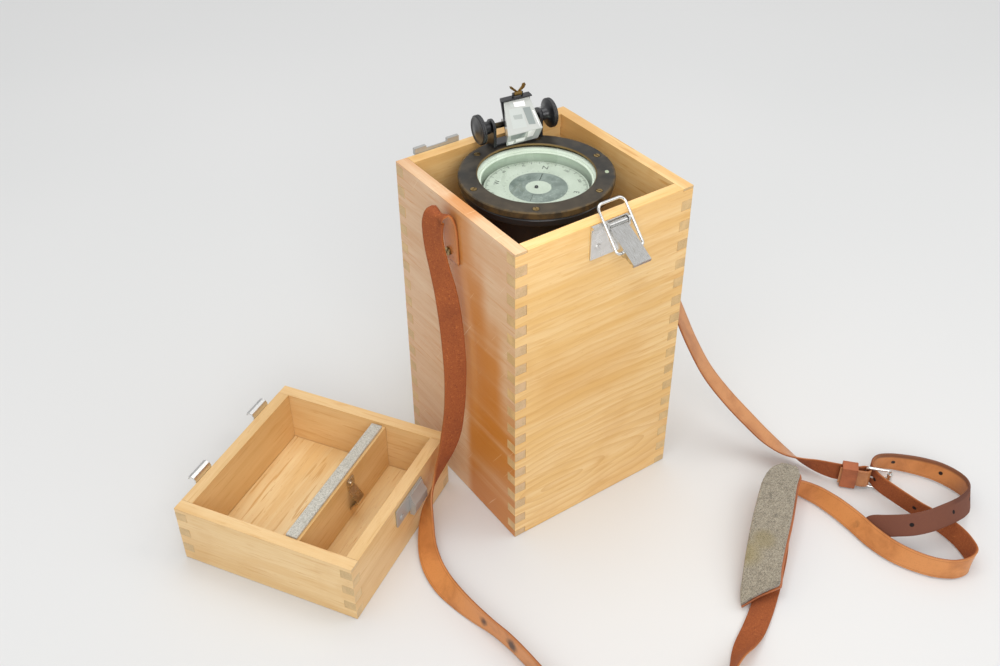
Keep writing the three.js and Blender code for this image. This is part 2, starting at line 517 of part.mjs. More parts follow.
// ---------------------------------------------------------------- shoulder strap
// Stops: x, y, z of the middle of the strap, then the direction of its width.
const longStrap = [
  [-101.6, -1, 287.5, 0, 1, -0.1],
  [-101.6, -0.3, 299, 0, 1, -0.1],
  [-101.7, 0.4, 311, -0.03, 1, -0.08],
  [-102.4, 1.4, 322, -0.1, 0.99, -0.05],
  [-104.6, 2.6, 331.5, -0.2, 0.97, 0],
  [-108.8, 4.2, 337.5, -0.42, 0.9, 0.05],
  [-113, 6, 336.5, -0.5, 0.86, 0],
  [-115.5, 7.8, 329, -0.48, 0.88, 0],
  [-116, 8.4, 318, -0.42, 0.9, 0],
  [-115.8, 5.8, 301, -0.44, 0.9, 0],
  [-115.2, 0, 282, -0.5, 0.87, 0],
  [-114.6, -6.6, 263, -0.65, 0.76, 0],
  [-114.5, -11.6, 243, -0.76, 0.65, 0],
  [-114.8, -15.8, 222, -0.82, 0.57, 0],
  [-115.5, -19.2, 200, -0.87, 0.5, 0],
  [-116.6, -22, 178, -0.93, 0.36, 0],
  [-118.6, -23.8, 155, -0.96, 0.25, 0.02],
  [-121.8, -25.4, 130, -0.97, 0.18, 0.08],
  [-126.5, -26, 105, -0.95, 0.15, 0.2],
  [-132.8, -24.6, 80, -0.88, -0.15, 0.4],
  [-139.5, -23, 62, -0.7, -0.4, 0.6],
  [-148.5, -25.6, 48, -0.45, -0.6, 0.66],
  [-158, -31, 36.5, -0.15, -0.65, 0.75],
  [-166.5, -38, 25.5, 0.25, -0.65, 0.73],
  [-175.5, -50, 16, 0.55, -0.5, 0.66],
  [-184.5, -66, 9.6, 0.7, -0.4, 0.56],
  [-191.5, -86, 7.6, 0.8, -0.3, 0.5],
  [-195.5, -111, 8.2, 0.74, -0.15, 0.62],
  [-195, -136, 9.8, 0.5, 0, 0.86],
  [-192, -160, 11, 0.25, 0, 0.97],
  [-187, -185, 11.5, 0, 0, 1],
  [-183, -208, 11.5, 0, 0, 1],
  [-181, -232, 11.5, 0, 0, 1],
  [-180, -256, 11.5, 0, 0, 1],
  [-176, -290, 11.5, 0, 0, 1],
  [-164, -324, 11.5, 0, 0, 1],
  [-142, -352, 11.5, 0, 0, 1],
  [-110, -368, 11.5, 0, 0, 1],
  [-76, -368, 11.5, 0, 0, 1],
  [-46, -354, 11.3, 0, -0.15, 1],
  [-24, -341.5, 9.8, 0.1, -0.5, 0.85],
  [-5, -332, 6.2, 0.35, -0.8, 0.45],
  [13, -324, 3, 0.45, -0.87, 0.15],
  [33, -313.5, 1.9, 0.5, -0.86, 0.03],
  [57, -299, 1.9, 0.52, -0.85, 0.05],
  [80, -284, 3, 0.5, -0.82, 0.2],
  [103, -268, 6, 0.4, -0.75, 0.5],
  [125, -250, 9.4, 0.25, -0.5, 0.82],
  [144, -233, 11.4, 0.05, -0.15, 1],
  [159, -221, 11.5, 0, 0, 1],
  [169, -217.5, 11.5, 0, 0, 1],
  [178, -221, 11.5, 0, 0, 1],
  [185.5, -235, 11.3, 0.2, 0.05, 0.98],
  [190.5, -259, 11, 0.42, 0, 0.9],
  [191.5, -286, 10.6, 0.52, 0, 0.85],
  [189.8, -313, 10.6, 0.52, 0.03, 0.85],
  [191.8, -338, 11, 0.42, 0.08, 0.9],
  [199, -359, 11.4, 0.26, 0.14, 0.95],
  [210, -377, 11.8, 0.14, 0.18, 0.97],
  [224, -388.5, 11.8, 0, 0.2, 0.98],
  [239, -391.5, 11.6, 0, 0.05, 1],
  [250.5, -386, 11.4, 0.1, -0.25, 0.96],
  [258.5, -371, 11.2, 0.25, -0.15, 0.95],
  [261.5, -351, 11.3, 0.25, 0, 0.97],
  [259.5, -332, 11.6, 0.1, 0, 1],
  [257, -317, 12, 0, 0, 1],
  [254.5, -300, 13, 0, 0, 1],
  [252.3, -284, 14.2, 0, 0, 1],
  [251.5, -271, 14.6, 0, 0, 1],
  [253, -261, 14.6, 0, 0, 1],
  [257, -252, 14.6, 0, 0, 1],
  [264.5, -246.5, 14.4, 0, 0, 1],
  [275, -245, 13.4, -0.05, 0, 1],
  [288, -251, 12.5, -0.05, 0.03, 1],
  [299.5, -262.5, 12.2, 0.08, 0.05, 1],
  [310, -276, 12, 0.22, 0.08, 0.97],
  [318.5, -291, 11.8, 0.34, 0.08, 0.94],
  [322.5, -306, 11.7, 0.36, 0.08, 0.93],
  [322.5, -320, 11.9, 0.22, 0.05, 0.97],
  [316, -332.5, 13.4, 0, 0.2, 0.98],
  [303, -339.5, 17.6, 0, 0.42, 0.9],
  [288, -344, 23.6, 0.06, 0.52, 0.85],
  [270, -347, 30.6, 0.12, 0.57, 0.81],
  [250, -347.2, 35.6, 0.2, 0.61, 0.77],
  [231, -343.5, 35.6, 0.28, 0.61, 0.74],
  [217, -335.5, 32, 0.36, 0.58, 0.73],
  [206.5, -323.5, 26.4, 0.4, 0.55, 0.73],
  [199.6, -309.5, 18.4, 0.42, 0.5, 0.76],
  [196.5, -297, 12.4, 0.4, 0.4, 0.82],
];

const barPlace = [247, -253];             // X, Y of the buckle's fixed bar
const rollerPlace = [263, -271];
const buckleLow = 1.6;                    // Z of the lower and the upper rail of the buckle
const buckleHigh = 27.6;

const shortStrap = [
  [101.6, -3, 283, 0, 0.85, 0.53],
  [101.6, 3, 293.5, 0, 0.87, 0.48],
  [101.9, 7, 304, 0, 0.93, 0.35],
  [103, 9.5, 314, 0, 0.97, 0.22],
  [106, 10.5, 321, 0.05, 1, 0.1],
  [110.5, 10, 323.5, 0.1, 1, 0],
  [115, 8, 319.5, 0.25, 0.97, 0],
  [118, 3, 307, 0.45, 0.9, 0],
  [120.5, -6, 286, 0.6, 0.8, 0],
  [123.5, -17, 257, 0.75, 0.66, 0],
  [127.5, -30, 225, 0.83, 0.56, 0],
  [133, -44, 192, 0.87, 0.5, 0],
  [140, -59, 160, 0.88, 0.48, 0],
  [148.5, -75, 125, 0.88, 0.48, 0],
  [159, -93, 92, 0.88, 0.48, 0],
  [171.5, -114, 65.5, 0.88, 0.48, 0],
  [184, -137, 43.5, 0.88, 0.48, 0],
  [195, -159, 26, 0.86, 0.46, -0.1],
  [205, -180, 15.5, 0.78, 0.4, -0.45],
  [213, -198, 12, 0.5, 0.25, -0.85],
  [220.5, -214, 12.6, 0.15, 0.1, -0.98],
  [228, -228, 13.6, 0, 0, -1],
  [235.5, -238, 14.4, 0, 0, -1],
  [242.2, -245.4, 14.6, 0, 0, -1],
];

const along = (from, to, distance, offset, z) => {
  const dx = to[0] - from[0];
  const dy = to[1] - from[1];
  const length = Math.hypot(dx, dy);
  return [from[0] + (dx * distance - dy * offset) / length, from[1] + (dy * distance + dx * offset) / length, z];
};

// Wrap of the short strap round the buckle's bar and back under the keeper.
function wrapStops() {
  const spot = (distance, offset) => [...along(barPlace, rollerPlace, distance, offset, 14.6), 0, 0, -1];
  return [spot(-1, 4), spot(2.6, 3.2), spot(4.1, 0), spot(2.6, -3.2), spot(-1, -4.2), spot(-6, -4.4),
    spot(-12, -4), spot(-19, -3.8), spot(-27, -3.6)];
}

function strapAndBuckle() {
  const long = cut(band(longStrap, strapWidth, strapThickness, 2),
    rod(2.9, along(barPlace, rollerPlace, 4.5, 0.4, 14.6), along(barPlace, rollerPlace, 17, 0.4, 14.6), 12),
    rod(1.9, [-99, 3, 297], [-105, 3, 297], 10));
  put(assembly, 'shoulder_strap_long', long, tanLeather());
  const short = cut(band([...shortStrap, ...wrapStops()], strapWidth, strapThickness, 2),
    rod(2.6, along(barPlace, rollerPlace, 2, 0.2, 14.6), along(barPlace, rollerPlace, 8, 0.2, 14.6), 12),
    rod(4.2, [...barPlace, 12.2], [...barPlace, 17.2], 16), rod(1.9, [99, 3, 293.5], [105, 3, 293.5], 10));
  put(assembly, 'shoulder_strap_short', short, tanLeather());

  // Keeper: a stitched band round the two layers of the short strap.
  const loop = (near, far, inner, outer, z0, z1) => slab([[near, inner], [far, inner], [far, outer], [near, outer]]
    .map(([distance, offset]) => along(barPlace, rollerPlace, distance, offset, 0).slice(0, 2)), z1 - z0)
    .translate(0, 0, z0);
  const keeper = cut(loop(-9, -25, 5.1, -7.8, 1.2, 28), loop(-7, -27, 3.5, -6.2, 3, 26.2));
  put(assembly, 'strap_keeper', keeper, tanLeather());

  const [bx, by] = barPlace;
  const [rx, ry] = rollerPlace;
  const frameWire = wire([[bx, by, 14.6], [bx, by, buckleLow + 4], [bx, by, buckleLow + 1.2],
    along(barPlace, rollerPlace, 1.2, 0, buckleLow), along(barPlace, rollerPlace, 5, 0, buckleLow),
    along(barPlace, rollerPlace, 19, 0, buckleLow), along(barPlace, rollerPlace, 23, 0, buckleLow),
    [rx, ry, buckleLow + 1.2], [rx, ry, buckleLow + 4], [rx, ry, 14], [rx, ry, buckleHigh - 4],
    [rx, ry, buckleHigh - 1.2], along(barPlace, rollerPlace, 23, 0, buckleHigh),
    along(barPlace, rollerPlace, 19, 0, buckleHigh), along(barPlace, rollerPlace, 5, 0, buckleHigh),
    along(barPlace, rollerPlace, 1.2, 0, buckleHigh), [bx, by, buckleHigh - 1.2], [bx, by, buckleHigh - 4],
    [bx, by, 15]], 1.3, 60, 8);
  put(assembly, 'buckle_frame', frameWire, brightSteel());
  const roller = cut(rod(2.9, [rx, ry, 5], [rx, ry, 24], 14), rod(1.7, [rx, ry, 0], [rx, ry, 30], 12));
  put(assembly, 'buckle_roller', roller, brightSteel());
  const tongueRoot = cut(rod(2.9, [bx, by, 13], [bx, by, 16.4], 12), rod(1.6, [bx, by, 0], [bx, by, 30], 12));
  const tongue = join(tongueRoot, wire([along(barPlace, rollerPlace, 2.4, 0.4, 14.7),
    along(barPlace, rollerPlace, 10, 0.6, 14.7), along(barPlace, rollerPlace, 18, 2.6, 14.7),
    along(barPlace, rollerPlace, 25.5, 4.4, 14.7)], 1.1, 10, 8));
  put(assembly, 'buckle_tongue', tongue, brightSteel());

  const rivet = (x, y, z, out) => slottedScrew([x + out * 1.5, y, z], [out, 0, 0], 4.2, 1.8, 1.6, 1.2, 0.8);
  put(assembly, 'strap_screw_left', rivet(-101.6, 3, 297, -1), brass());
  put(assembly, 'strap_screw_right', rivet(101.6, 3, 293.5, 1), brass());
}

// Shoulder pad: leather backing with a felt face, arched over the strap.
const padRoute = [
  [41, -301, 8.5, 0.6, -0.78, 0.1],
  [51.5, -293, 11.5, 0.6, -0.78, 0.1],
  [65, -282, 16, 0.6, -0.78, 0.08],
  [85.5, -266.5, 21, 0.6, -0.78, 0.05],
  [109, -249, 25, 0.6, -0.78, 0],
  [136, -229, 27.5, 0.6, -0.78, 0],
  [156, -215, 28, 0.6, -0.78, 0],
  [175.5, -203.5, 28, 0.6, -0.78, 0],
];

function shoulderPad() {
  const lift = (rise) => padRoute.map(([x, y, z, ...side]) => [x, y, z + rise, ...side]);
  put(assembly, 'pad_leather', band(padRoute, 38, 2, 2), tanLeather());
  put(assembly, 'pad_felt', band(lift(4), 36.5, 5, 2), greyFelt());
}

carryingCase();
hookPlate('hook_plate_left', hookPlaceX[0]);
hookPlate('hook_plate_right', hookPlaceX[1]);
drawLatch();
lid();
compassAssembly();
strapAndBuckle();
shoulderPad();

export default assembly;
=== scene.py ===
import bmesh
import bpy
import numpy as np
from mathutils import Matrix, Vector


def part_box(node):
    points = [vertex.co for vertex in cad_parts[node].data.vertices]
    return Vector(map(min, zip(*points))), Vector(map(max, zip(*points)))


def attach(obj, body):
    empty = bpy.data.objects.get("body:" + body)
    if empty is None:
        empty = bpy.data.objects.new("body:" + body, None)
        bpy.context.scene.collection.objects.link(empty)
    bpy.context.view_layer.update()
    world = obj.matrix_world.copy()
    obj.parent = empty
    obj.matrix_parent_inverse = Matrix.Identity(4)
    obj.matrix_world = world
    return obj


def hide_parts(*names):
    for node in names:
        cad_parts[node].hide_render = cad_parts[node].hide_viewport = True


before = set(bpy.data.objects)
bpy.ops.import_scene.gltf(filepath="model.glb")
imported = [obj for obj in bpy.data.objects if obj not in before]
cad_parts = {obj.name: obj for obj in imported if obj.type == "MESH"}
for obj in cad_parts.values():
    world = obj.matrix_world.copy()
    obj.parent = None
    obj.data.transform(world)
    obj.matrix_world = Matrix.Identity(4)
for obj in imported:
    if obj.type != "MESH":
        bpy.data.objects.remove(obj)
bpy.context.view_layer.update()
mm = 0.001
print("frame loaded")

# camera: place and direction are in metres, lens and sensor in millimetres
shot = {"place": (-0.5479, -0.7313, 0.8621), "back": (-0.44626, -0.65403, 0.61081),
        "azimuth": -34.31, "roll": -0.523, "lens": 40.104, "sensor": 36.0}
turn = np.radians(shot["azimuth"])
roll = np.radians(shot["roll"])
back = Vector(shot["back"]).normalized()
level = Vector((np.cos(turn), np.sin(turn), 0))
above = back.cross(level)
right = level * np.cos(roll) + above * np.sin(roll)
up = above * np.cos(roll) - level * np.sin(roll)
cameraData = bpy.data.cameras.new("camera")
cameraData.lens = shot["lens"]
cameraData.sensor_width = shot["sensor"]
cameraData.clip_start = 0.05
cameraData.clip_end = 50
camera = bpy.data.objects.new("camera", cameraData)
camera.matrix_world = Matrix((
    (right.x, up.x, back.x, shot["place"][0]),
    (right.y, up.y, back.y, shot["place"][1]),
    (right.z, up.z, back.z, shot["place"][2]),
    (0, 0, 0, 1)))
bpy.context.scene.collection.objects.link(camera)
bpy.context.scene.camera = camera


# ---- surfaces

def quads(rows, cols, ringRows=False, ringCols=False):
    r = np.arange(rows if ringRows else rows - 1)[:, None]
    c = np.arange(cols if ringCols else cols - 1)[None, :]
    nextR = (r + 1) % rows
    nextC = (c + 1) % cols
    cells = np.broadcast_arrays(r * cols + c, r * cols + nextC, nextR * cols + nextC, nextR * cols + c)
    return np.stack(cells, -1).reshape(-1, 4).tolist()


# faces of a straight bar whose two end outlines, of n points each, follow each other from `first` on
def capped(n, first=0):
    ends = [list(range(first, first + n)), list(range(first + 2 * n - 1, first + n - 1, -1))]
    return ends + [[first + i, first + (i + 1) % n, first + n + (i + 1) % n, first + n + i] for i in range(n)]


def piece(name, points, faces, body, paint, stands=(), smooth=True, lay=None, bevel=0, open=False):
    data = bpy.data.meshes.new(name)
    data.from_pydata((np.asarray(points, float) * mm).tolist(), [], faces)
    if lay is not None:
        layData = data.attributes.new("lay", "FLOAT_VECTOR", "POINT").data
        layData.foreach_set("vector", lay.astype(np.float32).ravel())
    shell = bmesh.new()
    shell.from_mesh(data)
    bmesh.ops.remove_doubles(shell, verts=shell.verts, dist=2e-6)
    if not open:
        bmesh.ops.recalc_face_normals(shell, faces=shell.faces)
    shell.to_mesh(data)
    shell.free()
    if smooth:
        data.shade_smooth()
    data.materials.append(paint)
    obj = bpy.data.objects.new(name, data)
    bpy.context.scene.collection.objects.link(obj)
    if bevel:
        softenEdges(obj, bevel)
    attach(obj, body)
    if stands:
        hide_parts(*stands)
    return obj


def softenEdges(obj, width, angle=32):
    soft = obj.modifiers.new("bevel", "BEVEL")
    soft.width = width * mm
    soft.segments = 2
    soft.limit_method = "ANGLE"
    soft.angle_limit = np.radians(angle)
    soft.harden_normals = True


# a CAD node keeps its shape: it gets a finish, and its edges a small bevel
def dress(node, paint, width=0.3, angle=32):
    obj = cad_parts[node]
    obj.data.materials.clear()
    obj.data.materials.append(paint)
    for custom in [a.name for a in obj.data.attributes if a.name == "custom_normal"]:
        obj.data.attributes.remove(obj.data.attributes[custom])
    obj.data.shade_smooth()
    weld = obj.modifiers.new("weld", "WELD")
    weld.merge_threshold = 2e-6
    softenEdges(obj, width, angle)


# a smooth curve through given stops, sampled at even steps; columns after z are carried along
def flow(stops, step):
    p = np.asarray(stops, float)
    d = np.linalg.norm(np.diff(p[:, :3], axis=0), axis=1)
    t = np.concatenate([[0], np.cumsum(d)])
    slope = np.diff(p, axis=0) / d[:, None]
    inner = (slope[:-1] * d[1:, None] + slope[1:] * d[:-1, None]) / (d[1:] + d[:-1])[:, None]
    m = np.vstack([slope[:1], inner, slope[-1:]])
    s = np.linspace(0, t[-1], int(t[-1] / step) + 2)
    k = np.clip(np.searchsorted(t, s, side="right") - 1, 0, len(d) - 1)
    x = ((s - t[k]) / d[k])[:, None]
    h = d[k][:, None]
    return ((2 * x**3 - 3 * x**2 + 1) * p[k] + (x**3 - 2 * x**2 + x) * h * m[k]
            + (3 * x**2 - 2 * x**3) * p[k + 1] + (x**3 - x**2) * h * m[k + 1])


def unit(v):
    return v / np.linalg.norm(v, axis=-1, keepdims=True)


# frame of a path: tangent, side made square to it, and face = tangent x side
def axes(path, side):
    tangent = unit(np.gradient(path, axis=0))
    side = np.broadcast_to(np.asarray(side, float), path.shape)
    side = unit(side - (side * tangent).sum(1, keepdims=True) * tangent)
    return tangent, side, np.cross(tangent, side)


# section points (side, face) carried along a path; scale changes the section on the way
def sweep(path, side, section, scale=None):
    _, s, f = axes(path, side)
    section = np.asarray(section, float)
    grow = np.ones((len(path), 1, 1)) if scale is None else scale
    spots = section[None] * grow
    points = path[:, None] + spots[..., :1] * s[:, None] + spots[..., 1:] * f[:, None]
    rows, cols = points.shape[:2]
    faces = quads(rows, cols, ringCols=True)
    faces.append(list(range(cols)))
    faces.append(list(range((rows - 1) * cols, rows * cols)))
    return points.reshape(-1, 3), faces


def circle(radius, count):
    a = np.linspace(0, 2 * np.pi, count, endpoint=False)
    return np.stack([radius * np.cos(a), radius * np.sin(a)], 1)


# outline of a rectangle with round corners, from the left end of the + face
def roundedBar(width, thick, radius, across, corner):
    halfW = width / 2 - radius
    halfT = thick / 2 - radius
    a = np.linspace(0, np.pi / 2, corner)
    flat = np.stack([np.linspace(-halfW, halfW, across), np.full(across, thick / 2)], 1)
    upper = np.stack([halfW + radius * np.sin(a), halfT + radius * np.cos(a)], 1)[1:]
    lower = (upper * [1, -1])[::-1]
    half = np.concatenate([flat, upper, lower])
    return np.concatenate([half, -half])


# profile [radius, z] turned about a vertical axis
def turned(profile, centre, count, ring=False, ripple=None):
    a = np.linspace(0, 2 * np.pi, count, endpoint=False)
    p = np.asarray(profile, float)
    radius = np.repeat(p[:, :1], count, 1)
    if ripple is not None:
        radius = radius * ripple(a)[None]
    points = np.stack([centre[0] + radius * np.cos(a), centre[1] + radius * np.sin(a),
                       np.repeat(p[:, 1:], count, 1)], -1)
    return points.reshape(-1, 3), quads(len(p), count, ringRows=ring, ringCols=True)


# ---- finishes

def tone(code):
    srgb = np.array([int(code[i:i + 2], 16) for i in (1, 3, 5)]) / 255
    linear = np.where(srgb <= 0.04045, srgb / 12.92, ((srgb + 0.055) / 1.055) ** 2.4)
    return (*linear.tolist(), 1.0)


class Paint:
    def __init__(self, name, **values):
        self.material = bpy.data.materials.new(name)
        self.material.use_nodes = True
        self.tree = self.material.node_tree
        self.shader = self.tree.nodes["Principled BSDF"]
        self.coords = self.add("TexCoord").outputs["Object"]
        self.set(**values)

    def add(self, kind, **props):
        made = self.tree.nodes.new("ShaderNode" + kind)
        for key, value in props.items():
            setattr(made, key, value)
        return made

    def plug(self, socket, value):
        if isinstance(value, bpy.types.NodeSocket):
            self.tree.links.new(value, socket)
        elif isinstance(value, str):
            socket.default_value = tone(value)
        else:
            socket.default_value = value

    def set(self, **values):
        names = {"color": "Base Color", "rough": "Roughness", "metal": "Metallic", "normal": "Normal",
                 "coat": "Coat Weight", "coatRough": "Coat Roughness", "sheen": "Sheen Weight",
                 "sheenRough": "Sheen Roughness", "clear": "Transmission Weight", "ior": "IOR",
                 "specular": "Specular IOR Level", "grain": "Anisotropic", "alpha": "Alpha"}
        for key, value in values.items():
            self.plug(self.shader.inputs[names[key]], value)

    def math(self, kind, a, b=0.0, c=0.0, clamp=False):
        made = self.add("Math", operation=kind, use_clamp=clamp)
        for socket, value in zip(made.inputs, (a, b, c)):
            self.plug(socket, value)
        return made.outputs[0]

    def times(self, *values):
        made = values[0]
        for value in values[1:]:
            made = self.math("MULTIPLY", made, value)
        return made

    def vector(self, kind, a, b=(0, 0, 0)):
        made = self.add("VectorMath", operation=kind)
        self.plug(made.inputs[0], a)
        self.plug(made.inputs[1], b)
        return made.outputs["Value" if kind in ("LENGTH", "DISTANCE", "DOT_PRODUCT") else "Vector"]

    def parts(self, vector):
        made = self.add("SeparateXYZ")
        self.plug(made.inputs[0], vector)
        return made.outputs

    def whole(self, x, y, z):
        made = self.add("CombineXYZ")
        for socket, value in zip(made.inputs, (x, y, z)):
            self.plug(socket, value)
        return made.outputs[0]

    def noise(self, where, scale, detail=3.0, rough=0.55, bend=0.0):
        made = self.add("TexNoise")
        for key, value in (("Vector", where), ("Scale", scale), ("Detail", detail), ("Roughness", rough),
                           ("Distortion", bend)):
            self.plug(made.inputs[key], value)
        return made.outputs["Fac"]

    def step(self, value, low, high, start=0.0, end=1.0):
        made = self.add("MapRange", interpolation_type="SMOOTHSTEP")
        for socket, v in zip(made.inputs, (value, low, high, start, end)):
            self.plug(socket, v)
        return made.outputs[0]

    def mix(self, amount, a, b, kind="MIX"):
        made = self.add("Mix", data_type="RGBA", blend_type=kind)
        for at, value in ((0, amount), (6, a), (7, b)):
            self.plug(made.inputs[at], value)
        return made.outputs[2]

    def bump(self, height, strength, reach=0.0003):
        made = self.add("Bump")
        for key, value in (("Height", height), ("Strength", strength), ("Distance", reach)):
            self.plug(made.inputs[key], value)
        self.plug(self.shader.inputs["Normal"], made.outputs[0])


# wood with its grain along one axis, in the piece's own frame turned by `lean` degrees about Z
def wood(name, grain, pale, deep, stain, lean=0.0, shift=(0, 0, 0), arch=None, scratched=False,
         stained=0.5, veined=0.25, wearAndShade=()):
    w = Paint(name)
    spin = w.add("VectorRotate", rotation_type="Z_AXIS")
    w.plug(spin.inputs["Vector"], w.vector("ADD", w.coords, shift))
    w.plug(spin.inputs["Angle"], float(np.radians(-lean)))
    where = spin.outputs[0]
    pull = [60.0, 60.0, 60.0]
    pull["XYZ".index(grain)] = 4.0
    along = w.vector("MULTIPLY", where, tuple(pull))
    fine = w.noise(w.vector("MULTIPLY", along, (9, 9, 9)), 1.0, 4.0, 0.62)
    streak = w.noise(along, 1.0, 5.0, 0.6, 0.4)
    cloud = w.noise(w.vector("MULTIPLY", along, (0.22, 0.22, 0.22)), 1.0, 3.0, 0.5)
    x, y, z = w.parts(where)
    if arch:
        # growth rings of a flat-sawn board: long ovals about one spot, bent by a slow noise
        middle, height, length = arch
        dx = w.math("DIVIDE", w.math("SUBTRACT", x, middle), length)
        dz = w.math("SUBTRACT", z, height)
        oval = w.math("SQRT", w.math("ADD", w.times(dx, dx), w.times(dz, dz)))
        bent = w.noise(w.vector("MULTIPLY", where, (7, 7, 16)), 1.0, 2.0)
        field = w.math("ADD", oval, w.times(bent, 0.030))
        band = w.math("FRACT", w.times(field, 118.0))
        ring = w.times(w.math("POWER", band, 2.5), w.step(z, 0.36, 0.05, 0.35, 1.0))
    else:
        band = w.math("FRACT", w.math("ADD", w.times(streak, 3.2), w.times(cloud, 5.0)))
        ring = w.times(w.math("POWER", band, 3.0), 0.4)
    color = w.mix(w.step(streak, 0.32, 0.72), pale, deep)
    color = w.mix(w.times(w.step(fine, 0.42, 0.72), 0.55), color, deep)
    color = w.mix(w.times(ring, 0.5), color, stain)
    blot = w.step(w.noise(where, 9.0, 3.0, 0.55, 0.8), 0.50, 0.72)
    for low, high, amount in wearAndShade:
        # the stain colour is mixed in over a soft-edged patch between two corners; on the left wall the
        # patches follow the hanging strap down
        lx, ly, lz = low
        hx, hy, hz = high
        inside = w.times(w.step(x, lx - 0.02, lx + 0.01), w.step(x, hx + 0.02, hx - 0.01),
                         w.step(y, ly - 0.01, ly + 0.01), w.step(y, hy + 0.01, hy - 0.006),
                         w.step(z, lz - 0.04, lz + 0.03), w.step(z, hz + 0.04, hz - 0.03))
        torn = w.step(w.noise(w.vector("MULTIPLY", along, (0.5, 0.35, 0.5)), 1.0, 4.0, 0.6), 0.22, 0.52)
        color = w.mix(w.times(inside, torn, amount), color, stain)
    color = w.mix(w.times(blot, stained), color, stain)
    fleck = w.step(w.noise(w.vector("MULTIPLY", along, (26, 12, 12)), 1.0, 1.0), 0.70, 0.76)
    color = w.mix(w.times(fleck, 0.5), color, stain)
    vein = w.step(w.noise(w.vector("MULTIPLY", along, (4.5, 4.5, 4.5)), 1.0, 2.0, 0.5), 0.60, 0.68)
    color = w.mix(w.times(vein, veined), color, stain)
    if scratched:
        skew = w.vector("MULTIPLY", w.whole(x, w.math("ADD", y, w.times(z, 0.7)), z), (30, 520, 16))
        line = w.step(w.noise(skew, 1.0, 1.0), 0.71, 0.74)
        color = w.mix(w.times(line, 0.4), color, "#f3dcb6")
    # end grain where the surface faces along the grain
    facing = w.add("NewGeometry").outputs["Normal"]
    spinBack = w.add("VectorRotate", rotation_type="Z_AXIS")
    w.plug(spinBack.inputs["Vector"], facing)
    w.plug(spinBack.inputs["Angle"], float(np.radians(-lean)))
    across = w.math("ABSOLUTE", w.parts(spinBack.outputs[0])["XYZ".index(grain)])
    pores = w.noise(where, 900.0, 2.0, 0.7)
    endColor = w.mix(w.step(pores, 0.35, 0.7), "#ccb082", "#b6996a")
    endColor = w.mix(w.times(w.step(w.noise(where, 60.0, 2.0), 0.4, 0.75), 0.6), endColor, pale)
    endColor = w.mix(0.3, endColor, deep)
    color = w.mix(w.step(across, 0.6, 0.8), color, endColor)
    w.set(color=color, rough=w.step(fine, 0.2, 0.8, 0.36, 0.5), coat=0.25, coatRough=0.28)
    w.bump(w.math("ADD", fine, w.times(streak, 0.6)), 0.10)
    return w.material


def metal(name, color, rough, wearAndShade=None, wornAmount=0.4, scale=60.0, brushed=None):
    m = Paint(name, metal=1.0)
    patch = m.noise(m.coords, scale, 4.0, 0.6)
    m.set(color=m.mix(m.times(m.step(patch, 0.42, 0.68), wornAmount), color, wearAndShade or color))
    if brushed:
        fine = m.noise(m.vector("MULTIPLY", m.coords, brushed), 1.0, 2.0, 0.6)
        m.set(rough=m.step(fine, 0.3, 0.7, rough * 0.75, rough * 1.3))
        m.set(color=m.mix(m.step(fine, 0.36, 0.64), color, "#b6b4ae"))
        m.bump(fine, 0.02, 0.00005)
    else:
        m.set(rough=m.step(patch, 0.3, 0.75, rough * 0.8, rough * 1.35))
    return m.material


def feltPaint(name, pale, dark, stains):
    f = Paint(name, rough=0.95, sheen=0.35, sheenRough=0.5, specular=0.15)
    fibre = f.noise(f.coords, 900.0, 3.0, 0.7, 1.5)
    clump = f.noise(f.coords, 130.0, 3.0, 0.6)
    color = f.mix(f.step(fibre, 0.36, 0.64), dark, pale)
    tuft = f.step(f.noise(f.coords, 210.0, 2.0, 0.6, 2.5), 0.5, 0.62)
    color = f.mix(f.times(tuft, 0.45), color, pale)
    color = f.mix(f.times(f.step(clump, 0.55, 0.72), 0.5), color, dark)
    fleck = f.step(f.noise(f.coords, 420.0, 1.0, 0.5, 2.0), 0.68, 0.74)
    color = f.mix(f.times(fleck, 0.7), color, "#3a352e")
    for place, radius, shade in stains:
        away = f.vector("DISTANCE", f.coords, place)
        color = f.mix(f.times(f.step(away, radius, radius * 0.35), 0.45), color, shade)
    f.set(color=color)
    f.bump(f.math("ADD", fibre, clump), 0.9, 0.0007)
    return f.material


